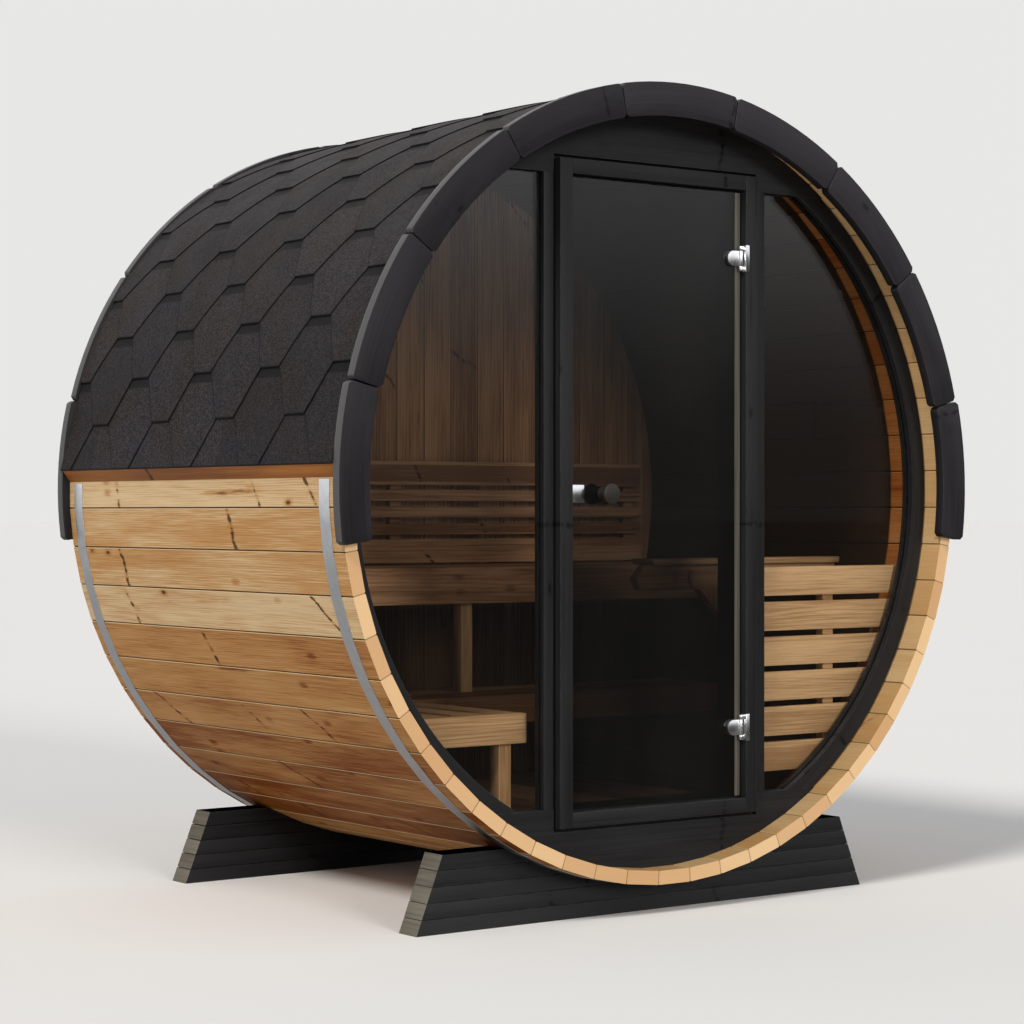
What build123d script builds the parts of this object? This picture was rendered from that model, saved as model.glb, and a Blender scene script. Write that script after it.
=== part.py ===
"""Barrel sauna with a round glazed front, a glass door, a shingled roof, benches and cradles."""
from build123d import *
import math
import os

os.makedirs("parts", exist_ok=True)

# Barrel
barrel_length = 1350
barrel_radius = 1000
stave_thickness = 35
stave_notch_depth = 3
stave_count = 60
staves_per_run = 6
ground_gap = 76
seat_gap = 0.3

# Roof, with angles measured round the barrel from its side
roof_thickness = 8
roof_foot_angle = 15
roof_run_angle = 30
eave_overhang = 30
eave_height = 49
eave_lip_thickness = 2
batten_foot_height = 17
batten_top_angle = 9

# End trims
trim_thickness = 28
trim_overhang = 16
trim_lap_width = 70
trim_low_angle = -9
trim_board_angle = 22
trim_board_count = 9
trim_joint_angle = 0.1
trim_corner_length = 9
trim_flare_width = 8

# Straps
strap_thickness = 2
strap_width = 44
strap_top_height = 14
strap_front_inset = 48
strap_back_inset = 30

# Cradles
cradle_height = 190
cradle_bottom_length = 1464
cradle_top_length = 1312
cradle_width = 75
cradle_front_inset = 85
cradle_back_inset = 83

# Front wall and its fixed panes
wall_inset = 65
wall_thickness = 38
ring_width = 52
ring_bevel_width = 6
header_height = 189
sill_height = 167
post_width = 39
glass_thickness = 8
glass_inset = 15
glass_rebate_width = 8

# Door frame
frame_half_width = 326
frame_top_lap = 37
frame_bottom_lap = 48
frame_face_width = 38
jamb_face_width = 40
frame_proud_depth = 16
frame_depth = 100
stop_inset = 34
stop_width = 12
groove_width = 9
groove_depth = 15

# Door leaf
leaf_gap = 6
leaf_inset = 20
seal_width = 17
seal_thickness = 1.5
seal_cut_width = 68
knob_inset = 103
knob_height = 784
knob_radius = 26
knob_neck_radius = 18
knob_neck_length = 18
knob_flare_length = 10
knob_head_length = 12
catch_width = 42
catch_height = 45
catch_thickness = 3

# Hinges
upper_hinge_inset = 172
lower_hinge_inset = 178
pivot_inset = 4
pivot_gap = 10
pin_radius = 2.5
pin_gap = 0.05
knuckle_radius = 6
clamp_height = 40
clamp_length = 43
clamp_front_thickness = 9
clamp_rear_thickness = 5
plate_height = 70
plate_thickness = 2.5
plate_width = 10
knuckle_height = 12
knuckle_gap = 0.4

# Floor
floor_rise_height = 5
floor_thickness = 22
bearer_width = 38
bearer_spacing = 400

# Upper bench and backrest
bench_thickness = 25
board_thickness = 28
batten_width = 38
upper_seat_height = 625
upper_bench_depth = 437
upper_fascia_height = 100
upper_bearer_height = 75
upper_bearer_spacing = 640
middle_bearer_shift = 43
wide_slat_height = 70
narrow_slat_height = 33
narrow_slat_count = 3
narrow_slat_pitch = 49
rest_bottom_gap = 4
rest_slat_gap = 13
rest_side_gap = 56
rest_batten_inset = 35
rest_batten_shift = 20
rest_batten_thickness = 22
slat_thickness = 20

# Lower bench
lower_seat_height = 278
lower_bench_depth = 335
lower_fascia_height = 75
bench_lap_width = 195
branch_width = 430
branch_gap = 47

# Guard
guard_rise_height = 9
guard_setback_depth = 297
guard_inner_width = 203
guard_thickness = 30
guard_height = 68
guard_nose_length = 17
guard_slope_length = 34
shelf_thickness = 17
shelf_inner_width = 246
shelf_slope_length = 8.5
shelf_front_overhang = 15
shelf_depth = 90
post_offset_width = 600
brace_length = 151
brace_width = 54
screen_drop_height = 2
screen_board_height = 77
screen_board_gap = 16.2
screen_board_count = 6
screen_lap_width = 15
screen_setback_depth = 12
screen_batten_inset = 41
screen_batten_spacing = 269

# Barrel worked out from the sizes above
front_end = -barrel_length / 2
back_end = barrel_length / 2
axis_height = barrel_radius + ground_gap
stave_angle = 360 / stave_count
half_angle = math.radians(stave_angle / 2)
inner_radius = barrel_radius - stave_thickness
seat_radius = inner_radius - seat_gap
strap_front = front_end + strap_front_inset
strap_back = back_end - strap_back_inset - strap_width
cradle_front = front_end + cradle_front_inset
cradle_back = back_end - cradle_back_inset - cradle_width

# Walls and door worked out
wall_front = front_end + wall_inset
wall_back = wall_front + wall_thickness
rear_wall = back_end - wall_inset - wall_thickness
ring_inner = inner_radius - ring_width
window_top = inner_radius - header_height
window_bottom = sill_height - inner_radius
window_side = frame_half_width + post_width
frame_top = window_top + frame_top_lap
frame_bottom = window_bottom - frame_bottom_lap
frame_inner = frame_half_width - jamb_face_width
frame_front = wall_front - frame_proud_depth
frame_back = frame_front + frame_depth
stop_face = frame_front + stop_inset
leaf_front = frame_front + leaf_inset
leaf_back = leaf_front + glass_thickness
leaf_half = frame_inner - leaf_gap
leaf_top = frame_top - frame_face_width - leaf_gap
leaf_bottom = frame_bottom + frame_face_width + leaf_gap
knob_x = knob_inset - leaf_half
knob_z = leaf_bottom + knob_height
pivot_x = leaf_half - pivot_inset
pivot_y = leaf_front - pivot_gap
hinge_levels = {"upper": leaf_top - upper_hinge_inset, "lower": leaf_bottom + lower_hinge_inset}

# Floor, benches and guard worked out
floor_level = frame_bottom + floor_rise_height
upper_level = floor_level + upper_seat_height
lower_level = floor_level + lower_seat_height
upper_front = rear_wall - upper_bench_depth
lower_back = upper_front + bench_lap_width
lower_front = lower_back - lower_bench_depth
branch_front = wall_back + branch_gap
branch_side = branch_width - math.sqrt(seat_radius**2 - lower_level**2)
guard_top = upper_level + guard_rise_height
guard_y = wall_back + guard_setback_depth
screen_top = guard_top - screen_drop_height
screen_start = window_side - screen_lap_width
screen_pitch = screen_board_height + screen_board_gap


def facing(y):
    """Plane at the given depth that looks to the front, with its origin on the barrel axis."""
    return Plane(origin=(0, y, axis_height), x_dir=(1, 0, 0), z_dir=(0, -1, 0))


def polar(radius, angle):
    """Point at a radius and an angle in degrees round the barrel axis."""
    return (radius * math.cos(math.radians(angle)), radius * math.sin(math.radians(angle)))


def on_flat(apothem, middle, offset):
    """Point on the flat side centred at the angle middle, offset along the side."""
    c = math.cos(math.radians(middle))
    s = math.sin(math.radians(middle))
    return (apothem * c - offset * s, apothem * s + offset * c)


def notched_side(apothem, depth, first, count):
    """Points along a run of flat sides with a V notch at each joint."""
    points = []
    reach = apothem * math.tan(half_angle) - abs(depth)
    corner = apothem / math.cos(half_angle) - depth
    for index in range(count + 1):
        joint = first + index * stave_angle
        if index > 0:
            points.append(on_flat(apothem, joint - stave_angle / 2, reach))
        points.append(polar(corner, joint))
        if index < count:
            points.append(on_flat(apothem, joint + stave_angle / 2, -reach))
    return points


def plain_side(apothem, first, count):
    """Corner points along a run of flat sides."""
    corner = apothem / math.cos(half_angle)
    return [polar(corner, first + index * stave_angle) for index in range(count + 1)]


def mirrored(points):
    """The same outline on the other side of the barrel."""
    return [(-x, z) for x, z in reversed(points)]


# Staves
for run in range(stave_count // staves_per_run):
    first = stave_angle / 2 + run * staves_per_run * stave_angle
    outer_side = notched_side(barrel_radius, stave_notch_depth, first, staves_per_run)
    inner_side = notched_side(inner_radius, -stave_notch_depth, first, staves_per_run)
    with BuildPart() as staves:
        with BuildSketch(facing(back_end)):
            with BuildLine():
                Polyline(outer_side + inner_side[::-1], close=True)
            make_face()
        extrude(amount=barrel_length)
    staves.part.label = f"barrel_staves_{run + 1}"
    export_step(staves.part, f"parts/barrel_staves_{run + 1}.step")

# Roof covering
roof_radius = barrel_radius + roof_thickness
roof_sides = roof_run_angle // int(stave_angle)
for index, name in enumerate(("upper_right", "ridge", "upper_left")):
    first = roof_foot_angle + (index + 1) * roof_run_angle
    outline = plain_side(roof_radius, first, roof_sides)
    outline += plain_side(barrel_radius, first, roof_sides)[::-1]
    with BuildPart() as cover:
        with BuildSketch(facing(back_end)):
            with BuildLine():
                Polyline(outline, close=True)
            make_face()
        extrude(amount=barrel_length)
    cover.part.label = f"roof_cover_{name}"
    export_step(cover.part, f"parts/roof_cover_{name}.step")

eave_reach = barrel_radius + eave_overhang
eave_tip = (eave_reach, eave_height)
eave_under = (eave_reach - roof_thickness, eave_height - eave_lip_thickness)
flare = [eave_under, eave_tip] + plain_side(roof_radius, roof_foot_angle, roof_sides)
flare += plain_side(barrel_radius, roof_foot_angle, roof_sides)[::-1]
foot_corner = barrel_radius * math.tan(half_angle)
top_corner = polar(barrel_radius / math.cos(half_angle), batten_top_angle)
root_corner = polar(barrel_radius / math.cos(half_angle), roof_foot_angle)
share = (top_corner[1] - eave_under[1]) / (root_corner[1] - eave_under[1])
batten_tip = (eave_under[0] + share * (root_corner[0] - eave_under[0]), top_corner[1])
batten = [(barrel_radius, batten_foot_height), eave_under, batten_tip, top_corner]
batten += [(barrel_radius, foot_corner)]
for side, flare_outline, batten_outline in (
    ("right", flare, batten),
    ("left", mirrored(flare), mirrored(batten)),
):
    with BuildPart() as eave_cover:
        with BuildSketch(facing(back_end)):
            with BuildLine():
                Polyline(flare_outline, close=True)
            make_face()
        extrude(amount=barrel_length)
    eave_cover.part.label = f"roof_cover_{side}"
    export_step(eave_cover.part, f"parts/roof_cover_{side}.step")

    with BuildPart() as eave_batten:
        with BuildSketch(facing(back_end)):
            with BuildLine():
                Polyline(batten_outline, close=True)
            make_face()
        extrude(amount=barrel_length)
    eave_batten.part.label = f"eave_batten_{side}"
    export_step(eave_batten.part, f"parts/eave_batten_{side}.step")

# End trims
trim_outer = barrel_radius + trim_overhang
trim_inner = barrel_radius - trim_lap_width
with BuildPart() as front_trim:
    with BuildSketch(facing(front_end)) as trim_face:
        for index in range(trim_board_count):
            start = trim_low_angle + index * trim_board_angle + trim_joint_angle / 2
            run = trim_board_angle - trim_joint_angle
            flare_side = (index == 0) - (index == trim_board_count - 1)
            middle = (flare_side * trim_flare_width, 0)
            with BuildLine():
                outer_arc = CenterArc(middle, trim_outer, start, run)
                inner_arc = CenterArc(middle, trim_inner, start, run)
                Line(outer_arc @ 0, inner_arc @ 0)
                Line(outer_arc @ 1, inner_arc @ 1)
            make_face()
        chamfer(trim_face.vertices(), length=trim_corner_length)
    extrude(amount=trim_thickness)
front_trim.part.label = "front_trim"
export_step(front_trim.part, "parts/front_trim.step")

with BuildPart() as back_trim:
    mirror(front_trim.part, about=Plane.XZ)
back_trim.part.label = "back_trim"
export_step(back_trim.part, "parts/back_trim.step")

# Straps
strap_sides = stave_count // 2 - 1
first_low = 180 + stave_angle / 2
strap_outer = plain_side(barrel_radius + strap_thickness, first_low, strap_sides)
strap_inner = plain_side(barrel_radius, first_low, strap_sides)
strap_radius = barrel_radius + strap_thickness
strap_outline = [(-strap_radius, strap_top_height)] + strap_outer
strap_outline += [(strap_radius, strap_top_height), (barrel_radius, strap_top_height)]
strap_outline += strap_inner[::-1] + [(-barrel_radius, strap_top_height)]
for side, start in (("front", strap_front), ("back", strap_back)):
    with BuildPart() as strap:
        with BuildSketch(facing(start + strap_width)):
            with BuildLine():
                Polyline(strap_outline, close=True)
            make_face()
        extrude(amount=strap_width)
    strap.part.label = f"strap_{side}"
    export_step(strap.part, f"parts/strap_{side}.step")

# Cradles
cradle_outline = [
    (-cradle_bottom_length / 2, -axis_height),
    (cradle_bottom_length / 2, -axis_height),
    (cradle_top_length / 2, cradle_height - axis_height),
    (-cradle_top_length / 2, cradle_height - axis_height),
]
for side, start in (("front", cradle_front), ("back", cradle_back)):
    with BuildPart() as cradle:
        with BuildSketch(facing(start + cradle_width)):
            with BuildLine():
                Polyline(cradle_outline, close=True)
            make_face()
            RegularPolygon(
                radius=barrel_radius + seat_gap,
                side_count=stave_count,
                major_radius=False,
                rotation=stave_angle / 2,
                mode=Mode.SUBTRACT,
            )
        extrude(amount=cradle_width)
        with BuildSketch(facing(strap_front + strap_width + seat_gap)):
            RegularPolygon(
                radius=strap_radius + seat_gap,
                side_count=stave_count,
                major_radius=False,
                rotation=stave_angle / 2,
            )
        extrude(amount=strap_width, mode=Mode.SUBTRACT)
    cradle.part.label = f"cradle_{side}"
    export_step(cradle.part, f"parts/cradle_{side}.step")

# Fixed panes
pane_front = wall_front + glass_inset
pane_radius = ring_inner + glass_rebate_width
pane_side = window_side - glass_rebate_width
pane_top = window_top + glass_rebate_width
pane_bottom = window_bottom - glass_rebate_width


def pane_outline(sign, grow):
    """Sketch of a fixed pane on one side, grown all round by a gap."""
    Circle(pane_radius + grow)
    height = pane_top - pane_bottom + 2 * grow
    with Locations((sign * (pane_side - grow + barrel_radius / 2), (pane_top + pane_bottom) / 2)):
        Rectangle(barrel_radius, height, mode=Mode.INTERSECT)


with BuildPart() as pane_pockets:
    for sign in (1, -1):
        with BuildSketch(facing(pane_front + glass_thickness + seat_gap)):
            pane_outline(sign, seat_gap)
        extrude(amount=glass_thickness + 2 * seat_gap)

for side, sign in (("right", 1), ("left", -1)):
    with BuildPart() as pane:
        with BuildSketch(facing(pane_front + glass_thickness)):
            pane_outline(sign, 0)
        extrude(amount=glass_thickness)
    pane.part.label = f"window_glass_{side}"
    export_step(pane.part, f"parts/window_glass_{side}.step")

# Door opening in the wall, wider in front as a shadow groove
opening_middle = (frame_top + frame_bottom) / 2
opening_height = frame_top - frame_bottom
with BuildPart() as door_opening:
    with BuildSketch(facing(wall_back + seat_gap)):
        with Locations((0, opening_middle)):
            Rectangle(2 * (frame_half_width + seat_gap), opening_height + 2 * seat_gap)
    extrude(amount=wall_thickness)
    with BuildSketch(facing(wall_front + groove_depth)):
        with Locations((0, opening_middle)):
            Rectangle(2 * (frame_half_width + groove_width), opening_height + 2 * groove_width)
    extrude(amount=groove_depth + frame_proud_depth)

# Header and sill of the front wall
for name, low, high in (("header", window_top, seat_radius), ("sill", -seat_radius, window_bottom)):
    with BuildPart() as panel:
        with BuildSketch(facing(wall_back)):
            Circle(seat_radius)
            with Locations((0, (low + high) / 2)):
                Rectangle(2 * barrel_radius, high - low, mode=Mode.INTERSECT)
        extrude(amount=wall_thickness)
        add(door_opening.part, mode=Mode.SUBTRACT)
        add(pane_pockets.part, mode=Mode.SUBTRACT)
    panel.part.label = f"wall_{name}"
    export_step(panel.part, f"parts/wall_{name}.step")

# Posts and ring members of the front wall
for side, sign in (("right", 1), ("left", -1)):
    with BuildPart() as post:
        with BuildSketch(facing(wall_back)):
            with Locations((sign * window_side / 2, (window_top + window_bottom) / 2)):
                Rectangle(window_side, window_top - window_bottom)
        extrude(amount=wall_thickness)
        add(door_opening.part, mode=Mode.SUBTRACT)
        add(pane_pockets.part, mode=Mode.SUBTRACT)
    post.part.label = f"wall_post_{side}"
    export_step(post.part, f"parts/wall_post_{side}.step")

    with BuildPart() as ring:
        with BuildSketch(facing(wall_back)):
            Circle(seat_radius)
            Circle(ring_inner, mode=Mode.SUBTRACT)
            with Locations((sign * barrel_radius / 2, (window_top + window_bottom) / 2)):
                Rectangle(barrel_radius, window_top - window_bottom, mode=Mode.INTERSECT)
        extrude(amount=wall_thickness)
        front_arcs = ring.edges().filter_by(GeomType.CIRCLE).sort_by(Axis.Y)[0:2].sort_by(SortBy.LENGTH)
        chamfer(front_arcs[0:1], length=ring_bevel_width)
        add(pane_pockets.part, mode=Mode.SUBTRACT)
    ring.part.label = f"wall_ring_{side}"
    export_step(ring.part, f"parts/wall_ring_{side}.step")

# Door frame
for side, sign in (("right", 1), ("left", -1)):
    with BuildPart() as jamb:
        with BuildSketch(Plane.XY.offset(axis_height + frame_bottom)):
            with BuildLine():
                face_x = sign * frame_inner
                stop_x = sign * (frame_inner - stop_width)
                Polyline(
                    (sign * frame_half_width, frame_front),
                    (face_x, frame_front),
                    (face_x, stop_face),
                    (stop_x, stop_face),
                    (stop_x, frame_back),
                    (sign * frame_half_width, frame_back),
                    close=True,
                )
            make_face()
        extrude(amount=opening_height)
    jamb.part.label = f"door_jamb_{side}"
    export_step(jamb.part, f"parts/door_jamb_{side}.step")

for name, edge, inward in (("door_head", frame_top, -1), ("door_threshold", frame_bottom, 1)):
    with BuildPart() as rail:
        with BuildSketch(facing(stop_face)):
            with Locations((0, edge + inward * frame_face_width / 2)):
                Rectangle(2 * frame_inner, frame_face_width)
        extrude(amount=stop_inset)
        with BuildSketch(facing(frame_back)):
            with Locations((0, edge + inward * (frame_face_width + stop_width) / 2)):
                Rectangle(2 * (frame_inner - stop_width), frame_face_width + stop_width)
        extrude(amount=frame_depth - stop_inset)
    rail.part.label = name
    export_step(rail.part, f"parts/{name}.step")

# Back wall
with BuildPart() as back_wall:
    with BuildSketch(facing(rear_wall + wall_thickness)):
        Circle(seat_radius)
    extrude(amount=wall_thickness)
back_wall.part.label = "back_wall"
export_step(back_wall.part, "parts/back_wall.step")

# Floor on its bearers
floor_under = floor_level - floor_thickness
with BuildPart() as floor:
    with BuildSketch(facing(rear_wall)):
        Circle(seat_radius)
        with Locations((0, (floor_level + floor_under) / 2)):
            Rectangle(2 * barrel_radius, floor_thickness, mode=Mode.INTERSECT)
    extrude(amount=rear_wall - wall_back)
    for middle in (-bearer_spacing, 0, bearer_spacing):
        with BuildSketch(facing(middle + bearer_width / 2)):
            Circle(seat_radius)
            with Locations((0, (floor_under - barrel_radius) / 2)):
                Rectangle(2 * barrel_radius, floor_under + barrel_radius, mode=Mode.INTERSECT)
        extrude(amount=bearer_width)
    with BuildSketch(Plane.XY.offset(axis_height + frame_bottom)):
        with Locations((0, (wall_back + frame_back + seat_gap) / 2)):
            Rectangle(2 * (frame_half_width + seat_gap), frame_back + seat_gap - wall_back)
    extrude(amount=opening_height, mode=Mode.SUBTRACT)
floor.part.label = "floor"
export_step(floor.part, "parts/floor.step")

# Backrest
rest_low = upper_level + rest_bottom_gap
rest_half = math.sqrt(seat_radius**2 - rest_low**2) - rest_side_gap
first_narrow = rest_low + wide_slat_height + rest_slat_gap
narrow_slats = [first_narrow + index * narrow_slat_pitch for index in range(narrow_slat_count)]
rest_top_slat = narrow_slats[-1] + narrow_slat_height + rest_slat_gap
rest_slats = [(rest_low, wide_slat_height)]
rest_slats += [(low, narrow_slat_height) for low in narrow_slats]
rest_slats += [(rest_top_slat, wide_slat_height)]
rest_height = rest_top_slat + wide_slat_height - rest_low
rest_battens = (rest_batten_inset - rest_half, -rest_batten_shift, rest_half - rest_batten_inset)
with BuildPart() as backrest:
    with BuildSketch(facing(rear_wall - rest_batten_thickness)):
        for low, height in rest_slats:
            with Locations((0, low + height / 2)):
                Rectangle(2 * rest_half, height)
    extrude(amount=slat_thickness)
    with BuildSketch(facing(rear_wall)):
        with Locations([(x, rest_low + rest_height / 2) for x in rest_battens]):
            Rectangle(batten_width, rest_height)
    extrude(amount=rest_batten_thickness)
backrest.part.label = "backrest"
export_step(backrest.part, "parts/backrest.step")

# Upper bench
upper_bearers = (-upper_bearer_spacing, -middle_bearer_shift, upper_bearer_spacing)
with BuildPart() as upper_bench:
    with BuildSketch(facing(rear_wall)):
        Circle(seat_radius)
        with Locations((0, upper_level - bench_thickness / 2)):
            Rectangle(2 * barrel_radius, bench_thickness, mode=Mode.INTERSECT)
    extrude(amount=rear_wall - upper_front)
    with BuildSketch(facing(upper_front + board_thickness)):
        Circle(seat_radius)
        with Locations((0, upper_level - upper_fascia_height / 2)):
            Rectangle(2 * barrel_radius, upper_fascia_height, mode=Mode.INTERSECT)
    extrude(amount=board_thickness)
    with BuildSketch(facing(rear_wall)):
        with Locations([(x, upper_level - bench_thickness - upper_bearer_height / 2) for x in upper_bearers]):
            Rectangle(batten_width, upper_bearer_height)
    extrude(amount=rear_wall - upper_front)
upper_bench.part.label = "upper_bench"
export_step(upper_bench.part, "parts/upper_bench.step")

# Lower bench, the branch along the back and the branch along the left side
with BuildPart() as lower_back_bench:
    with BuildSketch(facing(lower_back)):
        Circle(seat_radius)
        with Locations((0, lower_level - bench_thickness / 2)):
            Rectangle(2 * barrel_radius, bench_thickness, mode=Mode.INTERSECT)
    extrude(amount=lower_back - lower_front)
    for rear in (lower_front + board_thickness, lower_back):
        with BuildSketch(facing(rear)):
            Circle(seat_radius)
            with Locations((0, lower_level - lower_fascia_height / 2)):
                Rectangle(2 * barrel_radius, lower_fascia_height, mode=Mode.INTERSECT)
        extrude(amount=board_thickness)
lower_back_bench.part.label = "lower_bench_back"
export_step(lower_back_bench.part, "parts/lower_bench_back.step")

with BuildPart() as lower_left_bench:
    with BuildSketch(facing(lower_front)):
        Circle(seat_radius)
        with Locations((branch_side - barrel_radius / 2, lower_level - bench_thickness / 2)):
            Rectangle(barrel_radius, bench_thickness, mode=Mode.INTERSECT)
    extrude(amount=lower_front - branch_front)
    with BuildSketch(facing(branch_front + board_thickness)):
        Circle(seat_radius)
        with Locations((branch_side - barrel_radius / 2, lower_level - lower_fascia_height / 2)):
            Rectangle(barrel_radius, lower_fascia_height, mode=Mode.INTERSECT)
    extrude(amount=board_thickness)
    with BuildSketch(facing(lower_front)):
        with Locations((branch_side - board_thickness / 2, lower_level - lower_fascia_height / 2)):
            Rectangle(board_thickness, lower_fascia_height)
    extrude(amount=lower_front - branch_front)
lower_left_bench.part.label = "lower_bench_left"
export_step(lower_left_bench.part, "parts/lower_bench_left.step")

# Bench legs
upper_leg_top = upper_level - bench_thickness - upper_bearer_height
lower_leg_top = lower_level - bench_thickness
with BuildPart() as bench_legs:
    with BuildSketch(facing(upper_front + board_thickness + batten_width)):
        with Locations((upper_bearers[1], (upper_leg_top + lower_level) / 2)):
            Rectangle(batten_width, upper_leg_top - lower_level)
    extrude(amount=batten_width)
    with BuildSketch(facing(branch_front + board_thickness + batten_width)):
        with Locations((branch_side - board_thickness - batten_width / 2, (lower_leg_top + floor_level) / 2)):
            Rectangle(batten_width, lower_leg_top - floor_level)
    extrude(amount=batten_width)
bench_legs.part.label = "bench_legs"
export_step(bench_legs.part, "parts/bench_legs.step")

# Guard screen behind the right pane
screen_front = wall_back + screen_setback_depth
screen_low = screen_top - (screen_board_count - 1) * screen_pitch - screen_board_height
screen_middle = (screen_top + screen_low) / 2
first_batten = screen_start + screen_batten_inset
with BuildPart() as guard_screen:
    with BuildSketch(facing(screen_front + slat_thickness)):
        for index in range(screen_board_count):
            board_middle = screen_top - index * screen_pitch - screen_board_height / 2
            with Locations((screen_start + barrel_radius / 2, board_middle)):
                Rectangle(barrel_radius, screen_board_height)
        Circle(seat_radius, mode=Mode.INTERSECT)
    extrude(amount=slat_thickness)
    with BuildSketch(facing(screen_front + slat_thickness + board_thickness)):
        with Locations((first_batten, screen_middle), (first_batten + screen_batten_spacing, screen_middle)):
            Rectangle(batten_width, screen_top - screen_low)
        Circle(seat_radius, mode=Mode.INTERSECT)
    extrude(amount=board_thickness)
guard_screen.part.label = "guard_screen"
export_step(guard_screen.part, "parts/guard_screen.step")

# Guard rail with its shelf and bracket
guard_low = guard_top - guard_height
with BuildPart() as guard_rail:
    with BuildSketch(facing(guard_y + guard_thickness)):
        with BuildLine():
            Polyline(
                (guard_inner_width, guard_top - guard_slope_length),
                (guard_inner_width + guard_nose_length, guard_low),
                (barrel_radius, guard_low),
                (barrel_radius, guard_top),
                (guard_inner_width + guard_slope_length, guard_top),
                close=True,
            )
        make_face()
        Circle(seat_radius, mode=Mode.INTERSECT)
    extrude(amount=guard_thickness)
guard_rail.part.label = "guard_rail"
export_step(guard_rail.part, "parts/guard_rail.step")

with BuildPart() as guard_shelf:
    with BuildSketch(facing(guard_y - shelf_front_overhang + shelf_depth)):
        with BuildLine():
            Polyline(
                (shelf_inner_width + shelf_slope_length, guard_top),
                (barrel_radius, guard_top),
                (barrel_radius, guard_top + shelf_thickness),
                (shelf_inner_width, guard_top + shelf_thickness),
                close=True,
            )
        make_face()
        Circle(seat_radius, mode=Mode.INTERSECT)
    extrude(amount=shelf_depth)
guard_shelf.part.label = "guard_shelf"
export_step(guard_shelf.part, "parts/guard_shelf.step")

post_left = post_offset_width - batten_width / 2
post_right = post_offset_width + batten_width / 2
brace_start = post_left - brace_length
with BuildPart() as guard_bracket:
    with BuildSketch(facing(guard_y + guard_thickness)):
        with BuildLine():
            Polyline(
                (brace_start, guard_low),
                (brace_start + brace_width, guard_low),
                (post_left, guard_low - brace_length + brace_width),
                (post_left, guard_low),
                (post_right, guard_low),
                (post_right, -barrel_radius),
                (post_left, -barrel_radius),
                (post_left, guard_low - brace_length),
                close=True,
            )
        make_face()
        Circle(seat_radius, mode=Mode.INTERSECT)
    extrude(amount=guard_thickness)
guard_bracket.part.label = "guard_bracket"
export_step(guard_bracket.part, "parts/guard_bracket.step")

# Door leaf
with BuildPart() as door_glass:
    with BuildSketch(facing(leaf_back)):
        with Locations((0, (leaf_top + leaf_bottom) / 2)):
            Rectangle(2 * leaf_half, leaf_top - leaf_bottom)
    extrude(amount=glass_thickness)
door_glass.part.label = "door_glass"
export_step(door_glass.part, "parts/door_glass.step")

with BuildPart() as door_seal:
    with BuildSketch(facing(leaf_front)):
        with Locations((leaf_half - seal_width / 2, (leaf_top + leaf_bottom) / 2)):
            Rectangle(seal_width, leaf_top - leaf_bottom)
        with Locations([(leaf_half, level) for level in hinge_levels.values()]):
            Rectangle(seal_cut_width, clamp_height + 2 * seat_gap, mode=Mode.SUBTRACT)
    extrude(amount=seal_thickness)
door_seal.part.label = "door_seal"
export_step(door_seal.part, "parts/door_seal.step")

knob_middle = (leaf_front + leaf_back) / 2
knob_foot = glass_thickness / 2
knob_neck = knob_foot + knob_neck_length
knob_flare = knob_neck + knob_flare_length
knob_end = knob_flare + knob_head_length
knob_profile = [
    (0, knob_foot),
    (knob_neck_radius, knob_foot),
    (knob_neck_radius, knob_neck),
    (knob_radius, knob_flare),
    (knob_radius, knob_end),
    (0, knob_end),
]
knob_place = (knob_x, knob_middle, axis_height + knob_z)
with BuildPart() as door_knob:
    with BuildSketch(Plane(origin=knob_place, x_dir=(1, 0, 0), z_dir=(0, 0, 1))):
        with BuildLine():
            Polyline(knob_profile, close=True)
        make_face()
    revolve(axis=Axis(knob_place, (0, 1, 0)))
    mirror(about=Plane.XZ.offset(-knob_middle))
door_knob.part.label = "door_knob"
export_step(door_knob.part, "parts/door_knob.step")

with BuildPart() as catch_plate:
    with BuildSketch(facing(leaf_front)):
        with Locations((-leaf_half + catch_width / 2, knob_z)):
            Rectangle(catch_width, catch_height)
    extrude(amount=catch_thickness)
catch_plate.part.label = "catch_plate"
export_step(catch_plate.part, "parts/catch_plate.step")

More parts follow.
